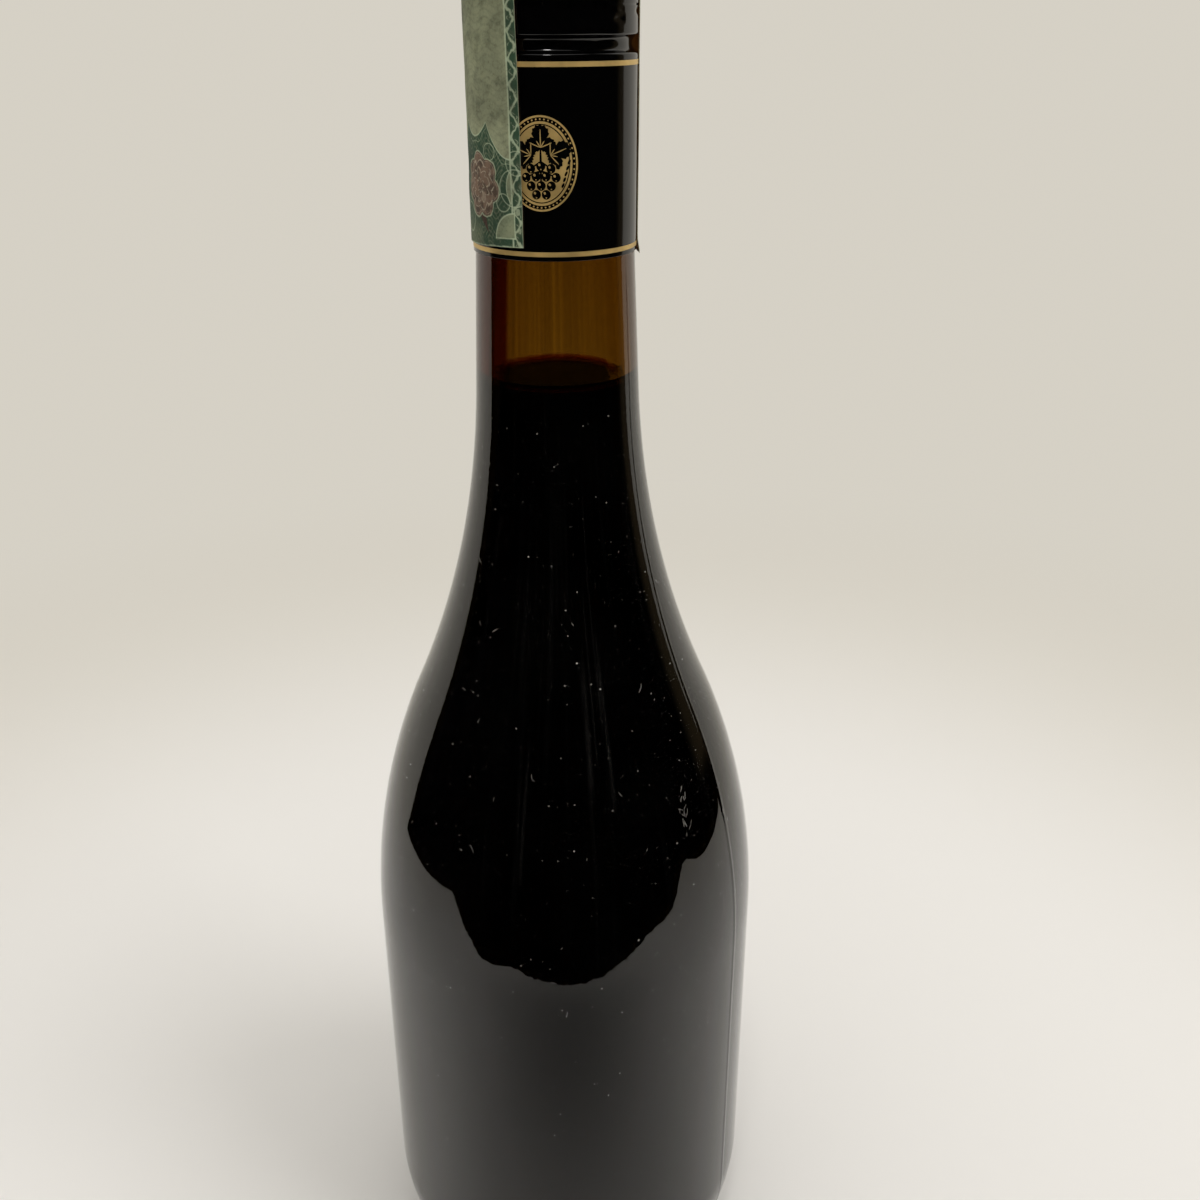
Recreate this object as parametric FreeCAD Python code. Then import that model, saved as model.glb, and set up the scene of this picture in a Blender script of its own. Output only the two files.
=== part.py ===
import FreeCAD, Part
import math
import os

# A sealed bottle of blackcurrant liqueur: a sloping-shouldered glass bottle, the liqueur
# in it, a long rolled-on aluminium screw cap and a paper duty strip over the cap.
# Millimetres. The origin is on the bottle's axis, at the plane that it stands on. +Z is up
# and -Y is the front. Azimuths turn about Z from the front, positive towards +X.

# Glass body
body_radius = 42.7
heel_height = 20.8  # where the straight body begins
heel_radius = 42.0  # long curve between the body and the foot
foot_radius = 6.0  # small curve from the heel into the bearing ring
body_height = 92.5  # where the shoulder begins
shoulder_radius = 140.0  # outward curve of the shoulder
sweep_radius = 175.0  # inward curve from the shoulder up into the neck

# Neck, up to the cap's lower edge
neck_length = 26.2
neck_radius = 14.8  # at the cap's lower edge
neck_taper = math.radians(2.3)

# Bearing ring and punt
ring_width = 3.0
ring_inner_radius = 3.0  # small curve from the bearing ring into the punt
punt_height = 18.0

# Glass thickness
body_wall = 2.9
base_wall = 4.5  # at the top of the punt
corner_radius = 6.0  # inside, between the wall and the punt
bore_radius = 9.5  # of the mouth

# Mouth, hidden by the cap
locking_ring_height = 3.0
rim_rounding = 1.0
mouth_clearance = 0.1  # between the mouth's outside and the cap

# Contents
ullage = 83.4  # from the rim down to the liqueur

# Screw cap
cap_length = 60.0
cap_wall = 0.3
skirt_clearance = 0.05  # between the neck and the skirt
cap_corner_radius = 1.3
crown_length = 19.0  # screw part, above the tear line
groove_centre = 34.9  # above the cap's lower edge
groove_depth = 1.15
groove_radius = 1.5
groove_edge_radius = 0.5
thread_depth = 0.6
thread_radius = 0.9
thread_pitch = 3.6
thread_turns = 1.75
thread_start = 3.4  # above the tear line
knurl_count = 60
knurl_length = 5.5
knurl_depth = 0.18
knurl_radius = 0.45
tear_count = 8
tear_height = 0.4
tear_depth = 0.2
tear_bridge = math.radians(6.0)

# Paper strip
strip_width = 20.4
strip_thickness = 0.15
strip_glue = 0.03  # between the cap and the paper
strip_azimuth = math.radians(-59.5)
front_leg_end = 2.3  # above the cap's lower edge
rear_leg_end = 0.5

AXIS_START = FreeCAD.Vector(0, 0, 0)
UP = FreeCAD.Vector(0, 0, 1)


def point(radius, height):
    """A point of a half section, which lies in the plane of X and Z."""
    return FreeCAD.Vector(radius, 0, height)


def around(centre, radius, angle):
    """The point of a circle of a half section at an angle from outwards towards up."""
    return centre + point(radius * math.cos(angle), radius * math.sin(angle))


def bearing(start, end):
    """The angle, from outwards towards up, in which end lies from start."""
    way = end - start
    return math.atan2(way.z, way.x)


def arc(centre, radius, start_angle, end_angle):
    """An arc of a half section, from one angle to another."""
    middle = (start_angle + end_angle) / 2
    ends = [around(centre, radius, angle) for angle in (start_angle, middle, end_angle)]
    return Part.Arc(*ends).toShape()


def meeting(centre_a, radius_a, centre_b, radius_b):
    """The outer point where two circles of a half section meet."""
    apart = (centre_b - centre_a).Length
    along = (radius_a**2 - radius_b**2 + apart**2) / (2 * apart)
    turn = math.acos(along / radius_a)
    return around(centre_a, radius_a, bearing(centre_a, centre_b) - turn)


def outline(pieces):
    """Join arcs and loose points, in order, by straight lines into one list of edges."""
    edges = []
    last = None
    for piece in pieces:
        is_edge = isinstance(piece, Part.Shape)
        start = piece.firstVertex(True).Point if is_edge else piece
        if last is not None and (start - last).Length > 1e-6:
            edges.append(Part.makeLine(last, start))
        if is_edge:
            edges.append(piece)
        last = piece.lastVertex(True).Point if is_edge else piece
    return edges


def turned(pieces):
    """Revolve a closed half section about the axis into a solid."""
    edges = outline(list(pieces) + [outline(pieces)[0].firstVertex(True).Point])
    face = Part.Face(Part.Wire(edges))
    return face.revolve(AXIS_START, UP, 360)


# Centres and heights that follow from the sizes above
heel_centre = point(body_radius - heel_radius, heel_height)
foot_reach = math.sqrt((heel_radius - foot_radius) ** 2 - (heel_height - foot_radius) ** 2)
foot_centre = point(heel_centre.x + foot_reach, foot_radius)
foot_angle = bearing(heel_centre, foot_centre)

ring_centre = point(foot_centre.x - ring_width, ring_inner_radius)
punt_radius = (ring_centre.x**2 + punt_height**2 - 2 * ring_inner_radius * punt_height) / (
    2 * punt_height
)
punt_centre = point(0, punt_height - punt_radius)
punt_angle = bearing(punt_centre, ring_centre)

neck_foot_radius = neck_radius + neck_length * math.tan(neck_taper)
shoulder_centre = point(body_radius - shoulder_radius, body_height)
sweep_x = neck_foot_radius + sweep_radius * math.cos(neck_taper)
sweep_rise = math.sqrt((shoulder_radius + sweep_radius) ** 2 - (sweep_x - shoulder_centre.x) ** 2)
sweep_centre = point(sweep_x, body_height + sweep_rise)
shoulder_angle = bearing(shoulder_centre, sweep_centre)
neck_foot = sweep_centre.z - sweep_radius * math.sin(neck_taper)

cap_edge = neck_foot + neck_length
cap_top = cap_edge + cap_length
cap_radius = neck_radius + skirt_clearance + cap_wall
rim = cap_top - cap_wall
tear_line = cap_top - crown_length
groove_height = cap_edge + groove_centre
groove_half = math.sqrt(
    (groove_radius + groove_edge_radius) ** 2
    - (groove_radius + groove_edge_radius - groove_depth) ** 2
)
crown_inner_radius = cap_radius - thread_depth - cap_wall
mouth_radius = cap_radius - groove_depth - cap_wall - mouth_clearance
locking_radius = cap_radius - cap_wall - mouth_clearance
locking_start = groove_height + groove_half
liqueur_level = rim - ullage


def shoulder_arcs(inset):
    """The shoulder's two curves, moved into the glass by inset."""
    bulge = arc(shoulder_centre, shoulder_radius - inset, 0, shoulder_angle)
    sweep = arc(
        sweep_centre,
        sweep_radius + inset,
        math.pi + shoulder_angle,
        math.pi + neck_taper,
    )
    return [bulge, sweep]


def inside_pieces():
    """The bottle's inner outline, from the top of the punt up to the rim."""
    wall_radius = heel_radius - body_wall
    dome_radius = punt_radius + base_wall
    corner = meeting(
        punt_centre, dome_radius + corner_radius, heel_centre, wall_radius - corner_radius
    )
    dome_angle = bearing(punt_centre, corner)
    heel_angle = bearing(heel_centre, corner)
    return [
        arc(punt_centre, dome_radius, math.pi / 2, dome_angle),
        arc(corner, corner_radius, dome_angle - math.pi, heel_angle),
        arc(heel_centre, wall_radius, heel_angle, 0),
        *shoulder_arcs(body_wall),
        point(bore_radius, groove_height - groove_half),
        point(bore_radius, rim),
    ]


def make_cavity():
    """The space inside the bottle, up to the rim, as a solid."""
    return turned(inside_pieces() + [point(0, rim)])


def make_bottle():
    """The glass: foot, body, shoulder, neck and mouth, less the space inside."""
    lock_middle = locking_start + locking_ring_height / 2
    lock_bulge = Part.Arc(
        point(mouth_radius, locking_start),
        point(locking_radius, lock_middle),
        point(mouth_radius, locking_start + locking_ring_height),
    )
    outside = turned(
        [
            arc(punt_centre, punt_radius, math.pi / 2, punt_angle),
            arc(ring_centre, ring_inner_radius, punt_angle - math.pi, -math.pi / 2),
            arc(foot_centre, foot_radius, -math.pi / 2, foot_angle),
            arc(heel_centre, heel_radius, foot_angle, 0),
            *shoulder_arcs(0),
            point(neck_radius, cap_edge),
            point(mouth_radius, groove_height - groove_half),
            lock_bulge.toShape(),
            point(mouth_radius, rim - rim_rounding),
            arc(point(mouth_radius - rim_rounding, rim - rim_rounding), rim_rounding, 0, math.pi / 2),
            point(0, rim),
        ]
    )
    return outside.cut(make_cavity())


def make_liqueur():
    """The liqueur: the space inside the bottle up to its level, against the glass."""
    filled = Part.makeCylinder(body_radius, liqueur_level)
    return make_cavity().common(filled)


def skirt_pieces(inset):
    """The skirt's outline from its lower edge up past the groove, moved in by inset."""
    side = cap_radius - inset
    edge = groove_edge_radius - inset
    slope = math.asin(groove_half / (groove_radius + groove_edge_radius))
    below = point(side - edge, groove_height - groove_half)
    above = point(side - edge, groove_height + groove_half)
    middle = point(cap_radius - groove_depth + groove_radius, groove_height)
    return [
        point(side, cap_edge),
        arc(below, edge, 0, slope),
        arc(middle, groove_radius + inset, math.pi + slope, math.pi - slope),
        arc(above, edge, -slope, 0),
    ]


def make_knurl():
    """The fine upright flutes round the top of the cap, as one cutter."""
    start = cap_top - cap_corner_radius - knurl_length
    centre = cap_radius - knurl_depth + knurl_radius
    flutes = []
    for index in range(knurl_count):
        angle = 2 * math.pi * index / knurl_count
        foot = FreeCAD.Vector(centre * math.cos(angle), centre * math.sin(angle), start)
        flutes.append(Part.makeCylinder(knurl_radius, knurl_length, foot))
    return Part.makeCompound(flutes)


def make_thread():
    """The rolled thread's groove, as a cutter."""
    path_radius = cap_radius - thread_depth + thread_radius
    helix = Part.makeHelix(thread_pitch, thread_pitch * thread_turns, path_radius)
    lead = FreeCAD.Vector(0, path_radius * 2 * math.pi, thread_pitch)
    ring = Part.Wire(Part.makeCircle(thread_radius, point(path_radius, 0), lead))
    groove = Part.Wire(helix.Edges).makePipeShell([ring], True, True)
    groove.translate(point(0, tear_line + thread_start))
    return groove


def make_tear_line():
    """The short slits between the screw part and the skirt, as one cutter."""
    step = 2 * math.pi / tear_count
    slit = turned_slit(step - tear_bridge)
    slits = []
    for index in range(tear_count):
        copy = slit.copy()
        copy.rotate(AXIS_START, UP, math.degrees(step * index))
        slits.append(copy)
    return Part.makeCompound(slits)


def turned_slit(angle):
    """One slit of the tear line, which starts at +X and runs round by angle."""
    corners = [
        point(cap_radius - tear_depth, tear_line - tear_height / 2),
        point(cap_radius + tear_depth, tear_line - tear_height / 2),
        point(cap_radius + tear_depth, tear_line + tear_height / 2),
        point(cap_radius - tear_depth, tear_line + tear_height / 2),
    ]
    face = Part.Face(Part.makePolygon(corners + corners[:1]))
    return face.revolve(AXIS_START, UP, math.degrees(angle))


def make_cap():
    """The rolled-on screw cap: skirt, groove, tear line, screw part and knurled top."""
    top_centre = point(cap_radius - cap_corner_radius, cap_top - cap_corner_radius)
    outside = turned(
        skirt_pieces(0)
        + [arc(top_centre, cap_corner_radius, 0, math.pi / 2), point(0, cap_top), point(0, cap_edge)]
    )
    inside = turned(
        skirt_pieces(cap_wall)
        + [
            point(cap_radius - cap_wall, tear_line),
            point(crown_inner_radius, tear_line),
            point(crown_inner_radius, rim),
            point(0, rim),
            point(0, cap_edge),
        ]
    )
    return outside.cut(inside).cut([make_knurl(), make_thread(), make_tear_line()])


def strip_envelope(inset):
    """The cap's plain outer form, grown by inset, which the taut paper follows."""
    side = cap_radius + inset
    corner = cap_corner_radius + inset
    top_centre = point(side - corner, cap_top + inset - corner)
    return turned(
        [
            point(0, cap_edge),
            point(side, cap_edge),
            arc(top_centre, corner, 0, math.pi / 2),
            point(0, cap_top + inset),
        ]
    )


def make_strip():
    """The paper strip: up one side of the cap, over its top and down the other side."""
    sheet = strip_envelope(strip_glue + strip_thickness).cut(strip_envelope(strip_glue))
    reach = cap_radius + cap_length
    half_chord = cap_radius * math.sin(strip_width / (2 * cap_radius))
    band = Part.makeBox(2 * half_chord, 2 * reach, 2 * reach)
    band.translate(FreeCAD.Vector(-half_chord, -reach, cap_edge + front_leg_end))
    rear = Part.makeBox(2 * half_chord, reach, front_leg_end)
    rear.translate(FreeCAD.Vector(-half_chord, 0, cap_edge + rear_leg_end))
    strip = sheet.common(band.fuse(rear))
    strip.rotate(AXIS_START, UP, math.degrees(strip_azimuth))
    return strip


def main():
    os.makedirs("parts", exist_ok=True)
    nodes = {
        "glass_bottle": make_bottle(),
        "liqueur": make_liqueur(),
        "screw_cap": make_cap(),
        "duty_strip": make_strip(),
    }
    for name, shape in nodes.items():
        solids = shape.Solids
        if len(solids) != 1 or not shape.isValid():
            raise ValueError(f"{name} has {len(solids)} solids, valid: {shape.isValid()}")
        solids[0].exportStep(f"parts/{name}.step")
        print(name, "volume in ml:", round(solids[0].Volume / 1000, 2))
    print("height:", round(cap_top, 2), "cap edge:", round(cap_edge, 2), "level:", round(liqueur_level, 2))


main()
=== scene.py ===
import math
import random

import bmesh
import bpy
from mathutils import Matrix, Vector, noise


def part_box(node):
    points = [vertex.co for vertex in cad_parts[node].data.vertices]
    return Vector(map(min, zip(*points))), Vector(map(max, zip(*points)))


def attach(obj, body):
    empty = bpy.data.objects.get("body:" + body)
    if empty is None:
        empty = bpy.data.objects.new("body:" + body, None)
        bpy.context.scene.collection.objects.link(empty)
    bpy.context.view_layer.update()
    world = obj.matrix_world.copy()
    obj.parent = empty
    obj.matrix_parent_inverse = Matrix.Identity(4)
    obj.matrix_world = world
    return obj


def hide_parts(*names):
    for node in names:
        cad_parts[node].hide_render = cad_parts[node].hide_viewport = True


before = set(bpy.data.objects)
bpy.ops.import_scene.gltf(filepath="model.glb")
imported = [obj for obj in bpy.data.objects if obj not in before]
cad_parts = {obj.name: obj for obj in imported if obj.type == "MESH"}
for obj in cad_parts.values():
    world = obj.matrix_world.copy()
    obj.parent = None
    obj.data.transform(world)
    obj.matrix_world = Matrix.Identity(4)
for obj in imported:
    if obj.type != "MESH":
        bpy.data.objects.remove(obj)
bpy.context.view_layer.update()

bl_info = {
    "name": "Bottle of blackcurrant liqueur",
    "version": (1, 0, 0),
    "blender": (4, 5, 0),
    "location": "View3D > Sidebar > Liqueur bottle",
    "description": "Dresses the packed bottle of blackcurrant liqueur",
    "category": "Object",
}

MM = 0.001
FULL_TURN = 2 * math.pi
GLASS_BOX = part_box("glass_bottle")
CAP_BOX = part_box("screw_cap")
LIQUEUR_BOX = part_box("liqueur")
STRIP_MIDDLE = 73.0 * MM  # from the paper strip's front end to the middle of the cap's top

CAMERA_PLACE = (0, -0.24115, 0.27844)
CAMERA_TURN = (24.858, 1.949, -0.123)  # degrees down, to the right and rolled
CAMERA_LENS = 37.83

BLACK = (0.0, 0.0, 0.0)
# painted glow: a dim brown light that only reflections and the glass see
PAINTED_GLOW_BROWN = (0.10, 0.075, 0.042)  # the far right end of the flags

SAME_PLACE = 1e-7  # vertices nearer than this are one
SPUN_GAP = 2e-6  # the same for what spinning leaves at its seam and its poles
GLASS_STEPS, LIQUEUR_STEPS, CAP_STEPS, LINE_STEPS, PAPER_STEPS = 240, 160, 480, 256, 360
EDGE_ANGLE = 40  # degrees past which an edge stays sharp
SOFT_EDGE_ANGLE = 50

GLASS_IOR = 1.52
LIQUEUR_IOR = 1.36
LIQUEUR_IN_GLASS_IOR = 1.12  # glass over liqueur, for what the drink mirrors inside the glass
LIQUEUR_SURFACE_IOR = 1.06
FILM_IOR = 1.03  # low, so that the film's sides don't show as lines
LACQUER_IOR = 1.5
GLASS_DENSITY = 745.0
MENISCUS_DENSITY = 3600.0
FILM_DENSITY = 5600.0

# smears on the glass: azimuth in degrees, lowest and highest point, half width in degrees
SMEARS = (
    (14.8, 0.155, 0.190, 0.5),
    (9.0, 0.144, 0.159, 1.3),
    (16.2, 0.141, 0.163, 1.1),
    (11.6, 0.150, 0.172, 0.5),
    (-12.8, 0.126, 0.143, 0.8),
)
# the strip's print, in millimetres across the paper
PRINT_MIDDLE = -0.8
PANEL_HALF = 9.2
BORDER_MIDDLE = 10.1
# scrolls on the strip, in millimetres: centre across and along, radius, half width of the line
SCROLLS = (
    (8.9, 9.9, 3.1, 0.10),
    (9.4, 14.0, 2.0, 0.08),
    (6.4, 7.4, 1.5, 0.10),
    (-7.0, 9.0, 2.6, 0.10),
    (3.4, 15.6, 1.4, 0.08),
    (-4.6, 4.2, 2.3, 0.10),
)
# the medallion's sprig, in millimetres: berries, and leaves with their lean in degrees
BERRIES = (
    (-1.75, -0.75), (0.0, -0.35), (1.75, -0.75), (-2.6, -2.2), (-0.88, -2.05), (0.88, -2.05),
    (2.6, -2.2), (-1.75, -3.6), (0.0, -3.55), (1.75, -3.6), (-0.85, -5.0), (0.85, -5.0),
)
LEAVES = ((-2.5, 1.75, -68), (2.5, 1.75, 68), (0.0, 3.55, 0))
# waves of the blown inner wall: how many go round, and how strong each is
WALL_WAVES = (
    (1, 0.5), (3, 0.25), (8, 0.10), (13, 0.12), (21, 0.10), (34, 0.075), (47, 0.05)
)


def length(name, description, default):
    """A size in metres that a user may change."""
    return bpy.props.FloatProperty(
        name=name, description=description, default=default, min=0.0, unit="LENGTH", precision=5
    )


def turn(name, description, degrees):
    """An angle that a user may change."""
    return bpy.props.FloatProperty(
        name=name, description=description, default=math.radians(degrees), unit="ROTATION"
    )


def colour(name, description, default):
    """A linear colour that a user may change."""
    return bpy.props.FloatVectorProperty(
        name=name, description=description, default=default, size=3,
        min=0.0, max=1.0, subtype="COLOR",
    )


def count(name, description, default):
    """A number of like things."""
    return bpy.props.IntProperty(name=name, description=description, default=default, min=0)


class BottleGlassSizes(bpy.types.PropertyGroup):
    """Sizes of the glass."""

    body_radius: length("Body radius", "Outside radius of the straight body", GLASS_BOX[1][0])
    body_height: length("Body height", "Height at which the shoulder begins", 92.5 * MM)
    heel_height: length("Heel height", "Height at which the straight body begins", 20.8 * MM)
    heel_radius: length("Heel radius", "Long curve between the body and the foot", 42 * MM)
    foot_radius: length("Foot radius", "Small curve from the heel into the bearing ring", 6 * MM)
    shoulder_radius: length("Shoulder radius", "Outward curve of the shoulder", 140 * MM)
    sweep_radius: length("Sweep radius", "Inward curve from the shoulder into the neck", 175 * MM)
    neck_length: length("Neck length", "From the top of the sweep to the cap", 26.2 * MM)
    neck_radius: length("Neck radius", "Outside radius of the neck at the cap's edge", 14.8 * MM)
    neck_taper: turn("Neck taper", "Slope of the neck's side", 2.3)
    ring_width: length("Ring width", "Width of the bearing ring", 3 * MM)
    ring_inner_radius: length("Ring inner curve", "Curve from the ring into the punt", 3 * MM)
    punt_height: length("Punt height", "Depth of the hollow under the bottle", 18 * MM)
    body_wall: length("Wall", "Thickness of the glass", 2.9 * MM)
    base_wall: length("Base wall", "Thickness at the top of the punt", 4.5 * MM)
    corner_radius: length("Inner corner", "Curve inside, between the wall and the punt", 6 * MM)
    bore_radius: length("Bore radius", "Inside radius of the mouth", 9.5 * MM)
    mouth_radius: length("Mouth radius", "Outside radius of the mouth, under the cap", 13.6 * MM)
    locking_radius: length("Locking radius", "Outside radius of the locking ring", 14.75 * MM)
    rim: length("Rim height", "Height of the mouth's rim", GLASS_BOX[1][2])
    seam_turn: turn("Seam azimuth", "Azimuth of one mould seam; the other is opposite", 60)
    seam_height: length("Seam height", "How far a mould seam stands out", 0.11 * MM)
    seam_width: length("Seam width", "Width of a mould seam", 0.7 * MM)
    unevenness: length("Unevenness", "How uneven the blown inner wall is", 0.19 * MM)


class LiqueurSizes(bpy.types.PropertyGroup):
    """Sizes of the liqueur."""

    level: length("Level", "Height of the liqueur's surface", LIQUEUR_BOX[1][2])
    reach: length("Reach into the wall", "How far the liqueur reaches into the glass", 0.25 * MM)
    meniscus_height: length("Meniscus height", "Climb of the surface at the wall", 1.1 * MM)
    meniscus_width: length("Meniscus width", "Width of the climb at the wall", 2.2 * MM)
    meniscus_depth: length("Clear depth", "Depth at the wall down to which light passes", 0.12 * MM)
    film_thickness: length("Film", "Thickness of the drink that clings to the neck", 0.20 * MM)
    film_reach: length("Film's reach", "How far the film reaches into the glass", 0.12 * MM)
    film_end_depth: length("Film's end", "How deep in the glass its two sides end", 0.05 * MM)
    film_start: turn("Film azimuth", "Azimuth at which the film begins", -95.0)
    film_width: turn("Film width", "How far round the neck the film goes", 55.5)
    film_blend: turn("Film blend", "How far its two sides thin out", 8.0)


class CapSizes(bpy.types.PropertyGroup):
    """Sizes of the screw cap and its gold print."""

    radius: length("Radius", "Outside radius of the skirt", CAP_BOX[1][0])
    edge: length("Edge", "Height of the cap's lower edge", CAP_BOX[0][2])
    top: length("Top", "Height of the cap's top", CAP_BOX[1][2])
    wall: length("Wall", "Thickness of the metal", 0.3 * MM)
    corner_radius: length("Corner radius", "Curve from the side to the top", 1.3 * MM)
    crown_length: length("Crown length", "Length of the screw part above the tear line", 19 * MM)
    groove_centre: length("Groove height", "Height of the groove above the cap's edge", 34.9 * MM)
    groove_depth: length("Groove depth", "Depth of the groove under the bead", 1.15 * MM)
    groove_radius: length("Groove radius", "Curve of the groove's floor", 1.5 * MM)
    groove_edge_radius: length("Groove edge", "Curve of the groove's edges", 0.5 * MM)
    thread_depth: length("Thread depth", "Depth of the rolled thread", 0.6 * MM)
    thread_radius: length("Thread radius", "Curve of the rolled thread", 0.9 * MM)
    thread_pitch: length("Thread pitch", "Rise of the thread in one turn", 3.6 * MM)
    thread_start: length("Thread start", "Height of the thread above the tear line", 3.4 * MM)
    knurl_count: count("Flutes", "Number of knurl flutes", 60)
    knurl_length: length("Knurl length", "Length of the flutes", 5.5 * MM)
    knurl_depth: length("Knurl depth", "Depth of the flutes", 0.18 * MM)
    knurl_radius: length("Knurl radius", "Curve of a flute", 0.45 * MM)
    tear_count: count("Slits", "Number of slits in the tear line", 8)
    tear_height: length("Slit height", "Height of the slits", 0.4 * MM)
    tear_depth: length("Slit depth", "Depth of the slits", 0.2 * MM)
    tear_bridge: turn("Bridge", "Metal between two slits", 6)
    foil: length("Foil", "Thickness of the gold print", 0.016 * MM)
    line_width: length("Gold line", "Width of the two gold lines", 0.82 * MM)
    upper_line: length("Upper line", "Height of the upper gold line above the edge", 31.95 * MM)
    lower_line: length("Lower line", "Height of the lower gold line above the edge", 1.2 * MM)
    medal_turn: turn("Medallion azimuth", "Azimuth of the medallion's centre", -8.5)
    medal_height: length("Medallion height", "Height of its centre above the edge", 16.3 * MM)
    medal_half_width: length("Medallion half width", "Half the width of the medallion", 6.4 * MM)
    medal_half_height: length("Medallion half height", "Half the height of the medallion", 7.8 * MM)


class StripSizes(bpy.types.PropertyGroup):
    """Sizes of the paper duty strip."""

    width: length("Width", "Width of the paper", 20.4 * MM)
    thickness: length("Thickness", "Thickness of the paper", 0.13 * MM)
    glue: length("Glue", "Gap between the cap and the paper", 0.035 * MM)
    azimuth: turn("Azimuth", "Azimuth of the front leg", -59.5)
    front_end: length("Front leg's end", "Height above the cap's edge", 2.3 * MM)
    rear_end: length("Rear leg's end", "Height above the cap's edge", 0.5 * MM)
    wave: length("Wave", "How far the paper lifts off in small waves", 0.26 * MM)
    corner_curl: length("Corner curl", "How far the rear leg's free corner curls", 0.4 * MM)
    end_slant: length("End slant", "How much longer one side of an end is", 0.8 * MM)
    askew: length("Askew", "How far the front leg leans to one side at its top", 0.6 * MM)


class DustSizes(bpy.types.PropertyGroup):
    """Sizes of the dust."""

    speck_count: count("Specks", "Number of dust specks", 2600)
    speck: length("Speck", "Size of a large speck", 0.10 * MM)
    fibre_count: count("Fibres", "Number of fibres", 64)
    fibre: length("Fibre", "Thickness of a fibre", 0.035 * MM)
    scuff_count: count("Scuffs", "Number of small scuffs in one cluster", 22)
    scuff_azimuth: turn("Scuff azimuth", "Azimuth of the cluster's middle", 40.8)
    scuff_height: length("Scuff height", "Height of the cluster's middle", 131.5 * MM)


class BottleColours(bpy.types.PropertyGroup):
    """Colours of the materials."""

    glass_tint: colour("Glass tint", "Tint of the glass at its surface", (0.90, 0.82, 0.64))
    glass_depth: colour("Glass depth", "The glass's colour with depth", (0.669, 0.525, 0.023))
    liqueur: colour("Liqueur", "The drink in depth", (0.0028, 0.0004, 0.0006))
    liqueur_edge: colour("Liqueur edge", "The drink where it is thin", (0.62, 0.08, 0.10))
    lacquer: colour("Lacquer", "The cap's lacquer", (0.0009, 0.0009, 0.0010))
    gold: colour("Gold", "The cap's gold print", (0.74, 0.525, 0.20))
    paper: colour("Paper", "The strip's pale field", (0.31, 0.345, 0.225))
    paper_shade: colour("Paper shade", "Darker patches of the pale field", (0.115, 0.130, 0.080))
    paper_light: colour("Paper light", "The strip's fine light lines", (0.50, 0.60, 0.43))
    paper_back: colour("Paper back", "The strip's unprinted side", (0.36, 0.25, 0.17))
    paper_green: colour("Green ink", "The strip's green print", (0.034, 0.105, 0.056))
    paper_brown: colour("Brown ink", "The strip's brown print", (0.215, 0.140, 0.100))
    paper_blush: colour("Blush ink", "Light lines of the brown print", (0.46, 0.40, 0.31))
    paper_red: colour("Red ink", "The dark red print", (0.075, 0.022, 0.020))
    dust: colour("Dust", "Dust and fibres on the glass", (0.86, 0.85, 0.81))
    floor: colour("Floor", "The studio floor", (0.86, 0.85, 0.835))
    wall: colour("Backdrop", "The studio backdrop", (0.67, 0.635, 0.56))


GROUPS = {
    "bottle_glass_sizes": BottleGlassSizes,
    "bottle_liqueur_sizes": LiqueurSizes,
    "bottle_cap_sizes": CapSizes,
    "bottle_strip_sizes": StripSizes,
    "bottle_dust_sizes": DustSizes,
    "bottle_colours": BottleColours,
}


# ---------------------------------------------------------------- half sections


def around(centre, radius, angle):
    """The point of a circle at an angle from outwards towards up."""
    return (centre[0] + radius * math.cos(angle), centre[1] + radius * math.sin(angle))


def bearing(start, end):
    """The angle, from outwards towards up, in which end lies from start."""
    return math.atan2(end[1] - start[1], end[0] - start[0])


def arc(centre, radius, start_angle, end_angle, steps):
    """Points along an arc of a half section."""
    return [
        around(centre, radius, start_angle + (end_angle - start_angle) * i / steps)
        for i in range(steps + 1)
    ]


def run(start, end, steps):
    """Points along a straight line of a half section, without its start."""
    return [
        tuple(a + (b - a) * i / steps for a, b in zip(start, end)) for i in range(1, steps + 1)
    ]


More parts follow.
